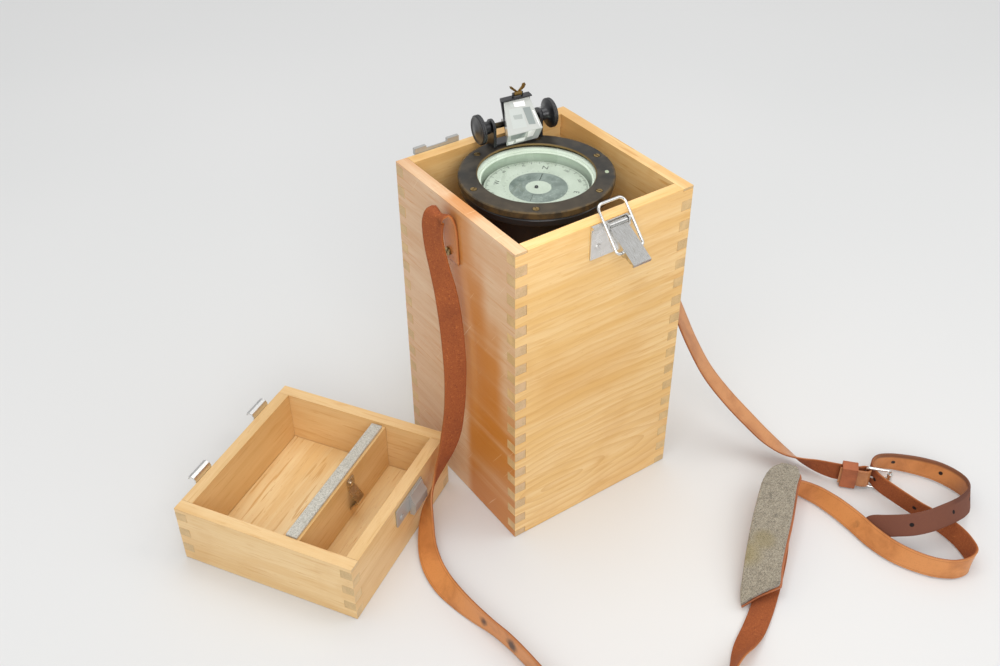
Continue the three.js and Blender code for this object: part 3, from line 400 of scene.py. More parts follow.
# leather: lay.x is millimetres along, lay.y runs -1 to 1 across, and lay.z is 1 on the grain side
# and -1 on the flesh side
def leather(name, grainColor, fleshColor, dark, creases=True, holes=(), spots=(), aged=None, wearAndShade=None):
    g = Paint(name, specular=0.4)
    lay = g.add("Attribute", attribute_name="lay").outputs["Vector"]
    u, v, side = g.parts(lay)
    where = g.coords
    cloud = g.noise(where, 26.0, 4.0, 0.6, 0.5)
    pore = g.noise(where, 700.0, 3.0, 0.65)
    grain = g.mix(g.times(g.step(cloud, 0.40, 0.72), 0.55), grainColor, dark)
    grain = g.mix(g.times(g.step(pore, 0.5, 0.8), 0.3), grain, dark)
    edge = g.math("ABSOLUTE", v)
    if creases:
        line = g.step(g.math("ABSOLUTE", g.math("SUBTRACT", edge, 0.80)), 0.05, 0.012)
        grain = g.mix(g.times(line, 0.45), grain, dark)
    fibre = g.noise(g.whole(g.times(u, 0.09), g.times(v, 5.0), cloud), 3.0, 5.0, 0.7)
    flesh = g.mix(g.step(fibre, 0.3, 0.7), fleshColor, g.mix(0.5, fleshColor, dark))
    suede = g.noise(where, 620.0, 2.0, 0.8, 1.0)
    flesh = g.mix(g.times(g.step(suede, 0.56, 0.70), 0.55), flesh, "#c9793f")
    flesh = g.mix(g.times(g.step(suede, 0.44, 0.32), 0.5), flesh, "#5e2a16")
    flesh = g.mix(g.times(g.step(cloud, 0.45, 0.7), 0.35), flesh, "#6e3420")
    color = g.mix(g.step(side, -0.2, 0.2), flesh, grain)
    # painted shade: both edges are darkened, standing in for the shade along the strap's thickness
    rim = g.times(g.step(edge, 0.90, 0.99), 0.55)
    color = g.mix(rim, color, dark)
    if aged:
        start, end, shade = aged
        color = g.mix(g.times(g.step(u, start, end), 0.85), color, shade)
    # painted shade: over the given stretch the top of the strap is darkened, standing in for the shade along
    # its top edge
    if wearAndShade:
        start, end = wearAndShade
        top = g.times(g.step(v, 0.5, 0.75), g.step(u, start, start + 40), g.step(u, end, end - 20))
        color = g.mix(g.times(top, 0.75), color, "#5d3426")
    for place, radius in spots:
        away = g.vector("DISTANCE", where, place)
        ragged = g.math("ADD", away, g.times(g.noise(where, 160.0, 3.0), 0.006))
        color = g.mix(g.times(g.step(ragged, radius + 0.004, radius * 0.6), 0.9), color, "#2d140c")
    # the holes are not cut: each is a near-black oval, painted shade standing in for the open hole
    for at in holes:
        du = g.math("DIVIDE", g.math("SUBTRACT", u, at), 2.4)
        dv = g.math("DIVIDE", v, 0.20)
        away = g.math("SQRT", g.math("ADD", g.times(du, du), g.times(dv, dv)))
        color = g.mix(g.step(away, 1.1, 0.8), color, "#120806")
    g.set(color=color, rough=g.step(side, -0.2, 0.2, 0.85, 0.42))
    g.set(coat=g.step(side, -0.2, 0.2, 0.0, 0.2), coatRough=0.3)
    g.bump(g.math("ADD", pore, g.times(fibre, 0.6)), 0.35, 0.0003)
    return g.material


honey = {"pale": "#f0cd90", "deep": "#e4b672", "stain": "#cd9448"}
frontWood = wood("front_wood", "X", "#f4d094", "#eabb70", "#d59a4c", arch=(-0.040, 0.048, 5.5), stained=0.30,
                 wearAndShade=[((-0.07, -0.2, 0.15), (0.05, 0.2, 0.21), 0.3)])
leftWood = wood("left_wood", "Y", "#e6c39c", "#dbb083", "#cb7c1e", scratched=True, stained=0.15,
                wearAndShade=[((-0.2, -0.15, -0.05), (0.2, -0.018, 0.15), 0.95),
                      ((-0.2, -0.075, 0.13), (0.2, -0.006, 0.24), 0.85),
                      ((-0.2, -0.05, 0.22), (0.2, 0.0, 0.3), 0.8),
                      ((-0.2, -0.03, 0.28), (0.2, 0.012, 0.38), 0.7)])
rightWood = wood("right_wood", "Y", **honey, shift=(0.4, 0, 0.7), veined=0.6)
backWood = wood("back_wood", "X", **honey, shift=(0.9, 0.3, 0))
boardWood = wood("board_wood", "Y", "#dcb47a", "#caa062", "#b08044", shift=(0.1, 0.6, 0))
lidLean = 31.81
lidAcross = wood("lid_wood_across", "X", "#e8c48d", "#ddb578", "#ca9650",
                 lean=lidLean, shift=(0.2, 0.1, 0.5), stained=0.25, veined=0.35)
lidAlong = wood("lid_wood_along", "Y", "#efce98", "#e5bd80", "#cf9a56",
                lean=lidLean, shift=(0.6, 0.4, 0.1), stained=0.25, veined=0.35)
lidBoardWood = wood("lid_board_wood", "X", "#f8e0ae", "#eec98a", "#cf9a50",
                    lean=lidLean, shift=(0.3, 0.9, 0.1), stained=0.1, veined=0.55)
nickel = metal("nickel", "#e6e5e2", 0.30, "#c4c1ba", 0.2, 120.0)
brushedSteel = metal("brushed_steel", "#dcdcda", 0.20, "#b4b2ac", 0.2, 90.0, brushed=(7000, 160, 160))
dullPlate = Paint("dull_plate", color="#b4b4b1", rough=0.34, metal=0.45).material
chrome = metal("chrome", "#e9e9e7", 0.12, "#c5c3bd", 0.1, 120.0)
springSteel = metal("spring_steel", "#cfc3b2", 0.30, "#8a7a66", 0.5, 120.0)
brass = metal("brass", "#9a7c48", 0.34, "#5c4a2c", 0.6, 220.0)
paleBrass = metal("screw_brass", "#a98f5e", 0.36, "#6b5533", 0.6, 300.0)
blackPaint = Paint("black_paint", color="#1d1d20", rough=0.32, specular=0.55, coat=0.3,
                   coatRough=0.2).material
rubber = Paint("rubber", color="#151515", rough=0.75).material
# the prism glass is only partly clear: its pale diffuse colour is painted light, standing in for the
# brightness that the glass reflects
glass = Paint("prism_glass", color="#dfe3df", rough=0.03, clear=0.30, ior=1.5, coat=1.0,
              coatRough=0.02).material
print("finishes made")


def ringPaint():
    r = Paint("bezel_bronze", metal=0.55)
    x, y, _ = r.parts(r.coords)
    dx = r.math("ADD", x, 0.0035)
    dy = r.math("SUBTRACT", y, 0.0035)
    away = r.math("SQRT", r.math("ADD", r.times(dx, dx), r.times(dy, dy)))
    patch = r.noise(r.coords, 70.0, 4.0, 0.6)
    color = r.mix(r.step(patch, 0.35, 0.7), "#35332f", "#524c43")
    outer = r.times(r.step(away, 0.0705, 0.0738), r.step(patch, 0.38, 0.6))
    color = r.mix(r.times(outer, 0.7), color, "#7a6238")
    inner = r.step(away, 0.0568, 0.0556)
    color = r.mix(r.times(inner, 0.8), color, "#8a7140")
    # painted light: the front-left side of the bezel, towards the key light, is made lighter
    near = r.step(r.math("ADD", r.times(dx, 0.45), r.times(dy, 0.65)), 0.0, -0.05)
    color = r.mix(r.times(near, 0.3), color, "#65563f")
    r.set(color=color, rough=r.step(patch, 0.3, 0.7, 0.34, 0.5))
    return r.material


def thinGlass():
    p = Paint("cover_glass")
    clear = p.add("BsdfTransparent")
    clear.inputs["Color"].default_value = tone("#fafdfb")
    gloss = p.add("BsdfGlossy")
    gloss.inputs["Roughness"].default_value = 0.02
    facing = p.add("Fresnel")
    facing.inputs["IOR"].default_value = 1.45
    behind = p.add("NewGeometry").outputs["Backfacing"]
    shine = p.times(facing.outputs[0], p.math("SUBTRACT", 1.0, behind))
    both = p.add("MixShader")
    p.tree.links.new(shine, both.inputs[0])
    p.tree.links.new(clear.outputs[0], both.inputs[1])
    p.tree.links.new(gloss.outputs[0], both.inputs[2])
    p.tree.links.new(both.outputs[0], p.tree.nodes["Material Output"].inputs["Surface"])
    return p.material


# ---- box-jointed walls

case = {"width": 200, "depth": 197, "height": 346, "wall": 12.5, "finger": 10.8, "gap": 0.1, "sawn": 3}
lidBox = {**case, "height": 69.7, "sawn": 4.5}
lidPlace = np.array([-249, 39.5, 0.0])
uneven = np.random.default_rng(11)


# outline of a wall: fingers of even height down both upright edges, each a little uneven
def wallOutline(box, ownsTop, half):
    short = half - box["wall"] - box["gap"]
    edge = []
    top = box["height"]
    own = ownsTop
    below = box["height"] - box["sawn"]
    while top > 0:
        bottom = max(0, below)
        shrink = box["gap"] / 2 * (1 if own else -1)
        reach = (half if own else short) + uneven.uniform(-0.12, 0.06)
        edge.append([reach, top if top == box["height"] else top - shrink])
        edge.append([reach, 0 if bottom == 0 else bottom + shrink])
        top = bottom
        below = bottom - box["finger"]
        own = not own
    edge = np.array(edge[::-1])
    return np.concatenate([edge, (edge * [-1, 1])[::-1]])


def wall(name, node, box, ownsTop, half, side, sign, paint, body, place=(0, 0, 0), lean=0.0):
    outline = wallOutline(box, ownsTop, half)
    n = len(outline)
    offset = (box["depth"] if side == "Y" else box["width"]) / 2
    layers = np.array([offset, offset - box["wall"]]) * sign
    u = np.tile(outline[:, 0], 2)
    w = np.repeat(layers, n)
    z = np.tile(outline[:, 1], 2)
    points = np.stack([u, w, z] if side == "Y" else [w, u, z], 1)
    c, s = np.cos(np.radians(lean)), np.sin(np.radians(lean))
    points = points @ np.array([[c, s, 0], [-s, c, 0], [0, 0, 1]]) + np.asarray(place)
    return piece(name, points, capped(n), body, paint, [node], smooth=False, bevel=0.45)


def boxWalls(prefix, box, paints, body, place=(0, 0, 0), lean=0.0):
    plans = (("front", False, box["width"], "Y", -1), ("back", False, box["width"], "Y", 1),
             ("left", True, box["depth"], "X", -1), ("right", True, box["depth"], "X", 1))
    for label, ownsTop, size, side, sign in plans:
        wall(f"{prefix}_{label}_panel", f"{prefix}_{label}_wall", box, ownsTop, size / 2, side, sign,
             paints[label], body, place, lean)


boxWalls("case", case, {"front": frontWood, "back": backWood, "left": leftWood, "right": rightWood}, "case")
boxWalls("lid", lidBox, {"front": lidAcross, "back": lidAcross, "left": lidAlong, "right": lidAlong}, "lid",
         lidPlace, lidLean)
dress("case_base_board", boardWood)
dress("cradle_board", boardWood)
dress("cradle_frame", boardWood)
dress("lid_top_board", lidBoardWood)
dress("lid_divider", lidAcross, 0.5)
caseFelt = feltPaint("case_felt", "#dedcd2", "#a5a395", [])
dress("divider_felt", caseFelt, 0.8)
dress("cradle_felt", caseFelt, 0.6)
print("case and lid made")

# ---- metal fittings on the case and the lid

for node, paint, width in (("hook_plate_left", dullPlate, 0.25), ("hook_plate_right", dullPlate, 0.25),
                           ("latch_base", nickel, 0.3), ("latch_lever", brushedSteel, 0.3),
                           ("latch_pivot_pin", chrome, 0.1), ("lid_hook_near", nickel, 0.3),
                           ("lid_hook_far", nickel, 0.3), ("lid_catch", dullPlate, 0.35),
                           ("spring_clip", springSteel, 0.2), ("strap_screw_left", paleBrass, 0.3),
                           ("strap_screw_right", paleBrass, 0.3)):
    dress(node, paint, width)

latch = {"x": 6.5, "pivot": (-102.8, 341.5), "drop": 30.5, "seat": (26, -5), "half": 15, "reach": 46.6,
         "rise": 47.5, "corner": 6, "wire": 1.4}


def bail():
    drop = np.radians(latch["drop"])
    along, over = latch["seat"]
    y0 = latch["pivot"][0] - along * np.cos(drop) - over * np.sin(drop)
    z0 = latch["pivot"][1] - along * np.sin(drop) + over * np.cos(drop)
    out = np.array([0, np.cos(np.radians(latch["rise"])), np.sin(np.radians(latch["rise"]))])
    corner = latch["corner"]
    half, reach = latch["half"], latch["reach"]
    a = np.linspace(0, np.pi / 2, 9)
    foot = np.stack([-half + 3.5 - 3.5 * np.sin(a), 3.5 - 3.5 * np.cos(a)], 1)
    bend = np.stack([-half + corner - corner * np.cos(a), reach - corner + corner * np.sin(a)], 1)
    left = np.concatenate([[[-half + 7.5, 0]], foot, [[-half, 14], [-half, 26]], bend])
    line = np.concatenate([left, (left * [-1, 1])[::-1]])
    path = np.array([latch["x"], y0, z0]) + line[:, :1] * [1, 0, 0] + line[:, 1:] * out
    points, faces = sweep(path, np.cross([1, 0, 0], out), circle(latch["wire"], 20))
    piece("latch_bail_wire", points, faces, "bail", chrome, ["latch_bail"])


bail()
print("fittings made")

# ---- compass

ringCorners = np.array([list(corner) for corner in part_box("bezel_ring")])
centre = tuple(np.round(ringCorners.mean(0)[:2] / mm, 2).tolist())
dress("bezel_ring", ringPaint(), 0.35)
dress("compass_bowl", blackPaint, 0.4)
dress("grip_body", rubber)
dress("grip_end_cap", brass)
for number in range(1, 7):
    dress(f"bezel_screw_{number}", paleBrass, 0.2)
for node in ("card_float", "pivot_post", "expansion_diaphragm"):
    dress(node, brass, 0.15)
dress("ring_magnet", springSteel)
dress("jewel_cap", blackPaint, 0.1)
dress("glass_gasket", Paint("gasket_mint", color="#c9d4c4", rough=0.6).material, 0.15)


def cardPaint():
    c = Paint("card_enamel", rough=0.55)
    patch = c.noise(c.coords, 45.0, 3.0)
    c.set(color=c.mix(c.step(patch, 0.3, 0.75), "#d6dad0", "#c8cdc2"))
    return c.material


def slatePaint():
    s = Paint("card_slate", rough=0.6)
    spark = s.step(s.noise(s.coords, 620.0, 2.0, 0.7), 0.60, 0.72)
    patch = s.step(s.noise(s.coords, 90.0, 3.0), 0.35, 0.7)
    s.set(color=s.mix(s.times(spark, 0.55), s.mix(patch, "#747d7a", "#929a97"), "#e6ebe4"))
    return s.material


def coverGlass():
    profile = [[0, 341.6], [58.4, 341.6], [58.8, 341.9], [58.8, 344.0], [58.4, 344.3], [0, 344.3]]
    points, faces = turned(profile, centre, 160)
    piece("glass_disc", points, faces, "compass", thinGlass(), ["compass_glass"], smooth=False)


# enamelled inside of the bowl, with a pale flared rim under the glass
def bowlLining():
    wallPaint = Paint("bowl_enamel", color="#c2cebf", rough=0.5).material
    rimPaint = Paint("rim_enamel", color="#eef2e8", rough=0.45).material
    points, faces = turned([[3, 300], [46, 300], [53.2, 306], [53.9, 312], [53.9, 337.2]], centre, 128)
    piece("bowl_lining", points, faces, "compass", wallPaint, open=True)
    rim = [[53.9, 337.0], [52.3, 337.4], [52.0, 338.2], [52.6, 339.0], [54.1, 339.15], [54.1, 337.0]]
    points, faces = turned(rim, centre, 128, ring=True)
    piece("bowl_rim", points, faces, "compass", rimPaint)
    points, faces = turned([[54.15, 338.9], [54.15, 341.4], [58.5, 341.5]], centre, 128)
    piece("bowl_collar", points, faces, "compass", rimPaint, open=True)


# printed marks lie just above the card: thin bars [radius, angle, length, width] and a slate band
def cardMarks():
    dress("compass_card", cardPaint(), 0.15)
    top = 329.9
    ink = Paint("card_ink", color="#343c38", rough=0.6).material
    printed = (centre[0] + 1.6, centre[1] - 1.1)
    points, faces = turned([[12.2, top + 0.06], [27.8, top + 0.06]], printed, 128)
    piece("card_band", points, faces, "card", slatePaint(), open=True)
    marks = []
    for degree in range(0, 360, 2):
        length = 4.2 if degree % 30 == 0 else 3.0 if degree % 10 == 0 else 1.6
        marks.append([48.6 - length / 2, degree, length, 0.65 if degree % 10 == 0 else 0.4])
    for degree in range(0, 360, 10):
        marks.append([30.4, degree, 1.2, 0.35])
    marks.append([20, 41, 13, 0.9])
    marks.append([20, 221, 13, 0.5])
    m = np.array(marks)
    angle = np.radians(m[:, 1])
    out = np.stack([np.cos(angle), np.sin(angle)], 1)
    aside = np.stack([-out[:, 1], out[:, 0]], 1)
    corners = np.array([[-0.5, -0.5], [0.5, -0.5], [0.5, 0.5], [-0.5, 0.5]])
    spots = (out[:, None] * (m[:, None, :1] + corners[None, :, :1] * m[:, None, 2:3])
             + aside[:, None] * corners[None, :, 1:] * m[:, None, 3:4])
    points = np.concatenate([spots + np.array(centre), np.full((*spots.shape[:2], 1), top + 0.1)], 2)
    points = points.reshape(-1, 3)
    faces = np.arange(len(points)).reshape(-1, 4).tolist()
    piece("card_ticks", points, faces, "card", ink, smooth=False, open=True)
    labels = [(str(d), 42.6, d, 3.0) for d in range(30, 360, 30) if d % 90]
    labels += [("N", 38.2, 0, 6.4), ("E", 38.2, 270, 5.6), ("S", 38.2, 180, 5.6), ("W", 38.2, 90, 5.6)]
    for text, radius, degree, size in labels:
        curve = bpy.data.curves.new("label_" + text, "FONT")
        curve.body = text
        curve.size = size * 1.35 * mm
        curve.align_x = "CENTER"
        curve.align_y = "CENTER"
        curve.resolution_u = 3
        flat = bpy.data.objects.new("label_" + text, curve)
        bpy.context.scene.collection.objects.link(flat)
        bpy.context.view_layer.update()
        data = bpy.data.meshes.new_from_object(flat)
        bpy.data.objects.remove(flat)
        a = np.radians(degree + 41)
        spot = Vector((centre[0] + radius * np.cos(a), centre[1] + radius * np.sin(a), top + 0.12))
        place = Matrix.Translation(spot * mm)
        data.transform(place @ Matrix.Rotation(a - np.pi / 2, 4, "Z"))
        data.materials.clear()
        data.materials.append(ink)
        obj = bpy.data.objects.new("card_label_" + text, data)
        bpy.context.scene.collection.objects.link(obj)
        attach(obj, "card")


# pale oval spot of paint on the bezel's top
def bezelSpot():
    a = np.radians(-35)
    t = np.linspace(0, 2 * np.pi, 24, endpoint=False)
    local = np.stack([1.9 * np.cos(t), 2.8 * np.sin(t)], 1)
    c, s = np.cos(a), np.sin(a)
    flat = local @ np.array([[c, s], [-s, c]]) + np.array(centre) + 65.5 * np.array([c, s])
    points = np.concatenate([flat, np.full((24, 1), 346.54)], 1)
    piece("bezel_mark", points, [list(range(24))], "compass",
          Paint("mark_paint", color="#a9b59a", rough=0.6).material,
          smooth=False, open=True)


coverGlass()
bowlLining()
cardMarks()
bezelSpot()
print("compass made, centre", centre)

# ---- prism sight; local X runs along its axle

# the bracket's foot and its turn about Z in degrees; the axle's height is above the foot
sight = {"place": (17, 67.8, 346.5), "turn": -7.0, "axle": 19.5}


def inSight(points):
    c, s = np.cos(np.radians(sight["turn"])), np.sin(np.radians(sight["turn"]))
    return np.asarray(points, float) @ np.array([[c, s, 0], [-s, c, 0], [0, 0, 1]]) + np.array(sight["place"])


# knurled disc: [radius, distance along the axle] turned about it, with fine teeth on the rim
def knob(name, node, sign):
    profile = np.array([[0.02, 28], [5.6, 28], [6.2, 29], [6.2, 33], [8, 35.6], [13, 36.2], [14.3, 36.8],
                        [14.3, 38], [13.7, 38.4], [14.3, 38.8], [14.3, 40.2], [13.5, 41], [12.6, 41.2],
                        [12, 40.6], [6, 42.2], [0.02, 42.6]])
    a = np.linspace(0, 2 * np.pi, 240, endpoint=False)
    tooth = np.where(profile[:, :1] > 13.2, 1 + 0.018 * np.abs(np.sin(24 * a))[None], 1.0)
    radius = profile[:, :1] * tooth
    x = np.repeat(profile[:, 1:] * sign, 240, 1)
    points = np.stack([x, radius * np.cos(a), sight["axle"] + radius * np.sin(a)], -1).reshape(-1, 3)
    faces = quads(len(profile), 240, ringCols=True)
    piece(name, inSight(points), faces, "prism", blackPaint, [node])


# three-sided bar of glass, narrower at its top edge, and the painted reflections over its two front faces
def prismBar():
    lift = sight["axle"]
    low, peak, front = (-11.6, -17.6 + lift), (0.4, 22.2 + lift), (-18.4, -3.6 + lift)
    ends = {low: (-15.5, 19.5), peak: (-12, 16), front: (-17, 21)}
    points = np.array([[ends[spot][k], *spot] for k in (0, 1) for spot in (low, peak, front)])
    faces = [[0, 1, 2], [5, 4, 3], [0, 3, 4, 1], [1, 4, 5, 2], [2, 5, 3, 0]]
    bar = piece("prism_bar", inSight(points), faces, "prism", glass, ["sight_prism"],
                smooth=False, bevel=0.45)
    bar.modifiers["bevel"].harden_normals = False
    # painted reflections in the glass: flat panes, each from one corner to the other, as shares of the
    # width and the height of one of its two front faces; white for the lamps' reflections, greys for darker
    # ones
    upper = points[[1, 4, 2, 5]]
    lower = points[[2, 5, 0, 3]]
    paintedReflections = {"#ffffff": [(upper, (0.34, 0.06, 0.76, 0.24)), (upper, (0.90, 0.42, 0.955, 0.97)),
                         (lower, (0.58, 0.0, 0.80, 0.62)), (lower, (0.26, 0.55, 0.56, 0.86)),
                         (lower, (0.03, 0.62, 0.22, 0.95))],
             "#c3c9c6": [(upper, (0.14, 0.24, 0.60, 0.86)), (upper, (0.20, 0.04, 0.34, 0.20)),
                         (lower, (0.82, 0.1, 0.96, 0.9))],
             "#8f9896": [(upper, (0.62, 0.28, 0.87, 0.84)), (lower, (0.08, 0.04, 0.52, 0.5))],
             "#a9b0ad": [(upper, (0.24, 0.44, 0.54, 0.60)), (lower, (0.56, 0.66, 0.80, 0.96))]}
    for number, (shade, quadsOfShade) in enumerate(paintedReflections.items()):
        corners = []
        for face, (a0, b0, a1, b1) in quadsOfShade:
            normal = np.cross(face[1] - face[0], face[2] - face[0])
            normal = normal / np.linalg.norm(normal) * (0.05 + 0.02 * number)
            normal *= -1 if normal[1] > 0 else 1
            for a, b in ((a0, b0), (a1, b0 + 0.02), (a1 - 0.02, b1), (a0 + 0.03, b1 - 0.03)):
                top = face[0] * (1 - a) + face[1] * a
                bottom = face[2] * (1 - a) + face[3] * a
                corners.append(top * (1 - b) + bottom * b + normal)
        sheets = [list(range(4 * i, 4 * i + 4)) for i in range(len(quadsOfShade))]
        piece(f"prism_reflection_pane_{number}", inSight(corners), sheets, "prism",
              Paint(f"pane_{number}", color=shade, rough=0.12, coat=1.0, coatRough=0.03).material,
              smooth=False, open=True)


# folded sheet behind and over the prism, its lug on the axle, and the ears of the vane's hinge
def prismHolder():
    lift = sight["axle"]
    shell = np.array([[-11.1, -18.4], [-9.3, -18.9], [3.9, 20.2], [5.6, 22.6], [5.6, 24.6], [4.4, 25.4],
                      [-1.8, 25.0], [-2.6, 24.2], [-2.4, 23.4], [1.5, 23.2], [2.3, 22.2]]) + [0, lift]
    lug = np.array([[-6.6, -4.6], [3.0, -4.6], [4.8, -2.6], [4.8, 2.6], [3.0, 5.0], [-3.2, 6.6]]) + [0, lift]
    ear = np.array([[-1.4, 25.0], [1.8, 25.0], [1.8, 29.0], [0.9, 30.0], [-0.5, 30.0],
                    [-1.4, 29.0]]) + [0, lift]
    points, faces = [], []
    for outline, x0, x1 in ((shell, -13.5, 17.5), (lug, -9, 12), (ear, -2.4, -1.3), (ear, 7.3, 8.4)):
        faces += capped(len(outline), len(points))
        points += [[x, y, z] for x in (x0, x1) for y, z in outline]
    piece("holder_shell", inSight(points), faces, "prism", blackPaint, ["prism_holder"],
          smooth=False, bevel=0.35)


# forked vane: two flat prongs rising from a rolled strip
def vane():
    lift = sight["axle"] + 28.4
    a = np.linspace(0, 2 * np.pi, 20, endpoint=False)
    roll = np.stack([1.9 * np.cos(a), 1.9 * np.sin(a)], 1)
    points = [[x, y, z + lift] for x in (-1.0, 7.0) for y, z in roll]
    faces = capped(20)
    prongs = ([[1.2, 1.2], [4.2, 1.2], [-3.2, 8.2], [-5.6, 9.0], [-5.0, 6.6]],
              [[2.2, 1.2], [5.4, 1.2], [10.4, 4.6], [11.8, 7.6], [10.6, 9.4], [8.2, 9.0], [7.4, 6.4]])
    for outline in prongs:
        faces += capped(len(outline), len(points))
        points += [[x, y, z + lift] for y in (-0.3, 1.0) for x, z in outline]
    piece("vane_fork", inSight(points), faces, "vane", brass, ["sight_vane"],
          smooth=False, bevel=0.25)


knob("knob_left_disc", "left_knob", -1)
knob("knob_right_disc", "right_knob", 1)
prismBar()
prismHolder()
vane()
dress("sight_bracket", blackPaint, 0.4)
rodPoints = np.array([[x, 2.8 * np.cos(t), sight["axle"] + 2.8 * np.sin(t)] for x in (-40.5, 40.5)
                      for t in np.linspace(0, 2 * np.pi, 32, endpoint=False)])
axlePaint = metal("axle_bronze", "#3b3630", 0.35, "#6b5a3b", 0.5)
piece("axle_rod", inSight(rodPoints), capped(32), "prism", axlePaint, ["sight_axle"], bevel=0.2)
print("sight made")

# ---- shoulder strap: each stop is the middle of the strap and the direction of its width

longStops = np.array([
    [-101.6, -1, 287.5, 0, 1, -0.1], [-101.6, -0.3, 299, 0, 1, -0.1],
    [-101.7, 0.4, 311, -0.03, 1, -0.08], [-102.4, 1.4, 322, -0.1, 0.99, -0.05],
    [-104.6, 2.6, 331.5, -0.2, 0.97, 0], [-108.8, 4.2, 337.5, -0.42, 0.9, 0.05],
    [-113, 6, 336.5, -0.5, 0.86, 0], [-115.5, 7.8, 329, -0.48, 0.88, 0],
    [-116, 8.4, 318, -0.42, 0.9, 0], [-115.8, 5.8, 301, -0.44, 0.9, 0],
    [-115.2, 0, 282, -0.5, 0.87, 0], [-114.6, -6.6, 263, -0.65, 0.76, 0],
    [-114.5, -11.6, 243, -0.76, 0.65, 0], [-114.8, -15.8, 222, -0.82, 0.57, 0],
    [-115.5, -19.2, 200, -0.87, 0.5, 0], [-116.6, -22, 178, -0.93, 0.36, 0],
    [-118.6, -23.8, 155, -0.96, 0.25, 0.02], [-121.8, -25.4, 130, -0.97, 0.18, 0.08],
    [-126.5, -26, 105, -0.95, 0.15, 0.2], [-132.8, -24.6, 80, -0.88, -0.15, 0.4],
    [-139.5, -23, 62, -0.7, -0.4, 0.6], [-148.5, -25.6, 48, -0.45, -0.6, 0.66],
    [-158, -31, 36.5, -0.15, -0.65, 0.75], [-166.5, -38, 25.5, 0.25, -0.65, 0.73],
    [-175.5, -50, 16, 0.55, -0.5, 0.66], [-184.5, -66, 9.6, 0.7, -0.4, 0.56],
    [-191.5, -86, 7.6, 0.8, -0.3, 0.5], [-195.5, -111, 8.2, 0.74, -0.15, 0.62],
    [-195, -136, 9.8, 0.5, 0, 0.86], [-192, -160, 11, 0.25, 0, 0.97],
    [-187, -185, 11.5, 0, 0, 1], [-183, -208, 11.5, 0, 0, 1],
    [-181, -232, 11.5, 0, 0, 1], [-180, -256, 11.5, 0, 0, 1],
    [-176, -290, 11.5, 0, 0, 1], [-164, -324, 11.5, 0, 0, 1],
    [-142, -352, 11.5, 0, 0, 1], [-110, -368, 11.5, 0, 0, 1],
    [-76, -368, 11.5, 0, 0, 1], [-46, -354, 11.3, 0, -0.15, 1],
    [-24, -341.5, 9.8, 0.1, -0.5, 0.85], [-5, -332, 6.2, 0.35, -0.8, 0.45],
    [13, -324, 3, 0.45, -0.87, 0.15], [33, -313.5, 1.9, 0.5, -0.86, 0.03],
    [57, -299, 1.9, 0.52, -0.85, 0.05], [80, -284, 3, 0.5, -0.82, 0.2],
    [103, -268, 6, 0.4, -0.75, 0.5], [125, -250, 9.4, 0.25, -0.5, 0.82],
    [144, -233, 11.4, 0.05, -0.15, 1], [159, -221, 11.5, 0, 0, 1],
    [169, -217.5, 11.5, 0, 0, 1], [178, -221, 11.5, 0, 0, 1],
    [185.5, -235, 11.3, 0.2, 0.05, 0.98], [190.5, -259, 11, 0.42, 0, 0.9],
    [191.5, -286, 10.6, 0.52, 0, 0.85], [189.8, -313, 10.6, 0.52, 0.03, 0.85],
    [191.8, -338, 11, 0.42, 0.08, 0.9], [199, -359, 11.4, 0.26, 0.14, 0.95],
    [210, -377, 11.8, 0.14, 0.18, 0.97], [224, -388.5, 11.8, 0, 0.2, 0.98],
    [239, -391.5, 11.6, 0, 0.05, 1], [250.5, -386, 11.4, 0.1, -0.25, 0.96],
    [258.5, -371, 11.2, 0.25, -0.15, 0.95], [261.5, -351, 11.3, 0.25, 0, 0.97],
    [259.5, -332, 11.6, 0.1, 0, 1], [257, -317, 12, 0, 0, 1],
    [254.5, -300, 13, 0, 0, 1], [252.3, -284, 14.2, 0, 0, 1],
    [251.5, -271, 14.6, 0, 0, 1], [253, -261, 14.6, 0, 0, 1],
    [257, -252, 14.6, 0, 0, 1], [264.5, -246.5, 14.4, 0, 0, 1],
    [275, -245, 13.4, -0.05, 0, 1], [288, -251, 12.5, -0.05, 0.03, 1],
    [299.5, -262.5, 12.2, 0.08, 0.05, 1], [310, -276, 12, 0.22, 0.08, 0.97],
    [318.5, -291, 11.8, 0.34, 0.08, 0.94], [322.5, -306, 11.7, 0.36, 0.08, 0.93],
    [322.5, -320, 11.9, 0.22, 0.05, 0.97], [316, -332.5, 13.4, 0, 0.2, 0.98],
    [303, -339.5, 17.6, 0, 0.42, 0.9], [288, -344, 23.6, 0.06, 0.52, 0.85],
    [270, -347, 30.6, 0.12, 0.57, 0.81], [250, -347.2, 35.6, 0.2, 0.61, 0.77],
    [231, -343.5, 35.6, 0.28, 0.61, 0.74], [217, -335.5, 32, 0.36, 0.58, 0.73],
    [206.5, -323.5, 26.4, 0.4, 0.55, 0.73], [199.6, -309.5, 18.4, 0.42, 0.5, 0.76],
    [196.5, -297, 12.4, 0.4, 0.4, 0.82],
])

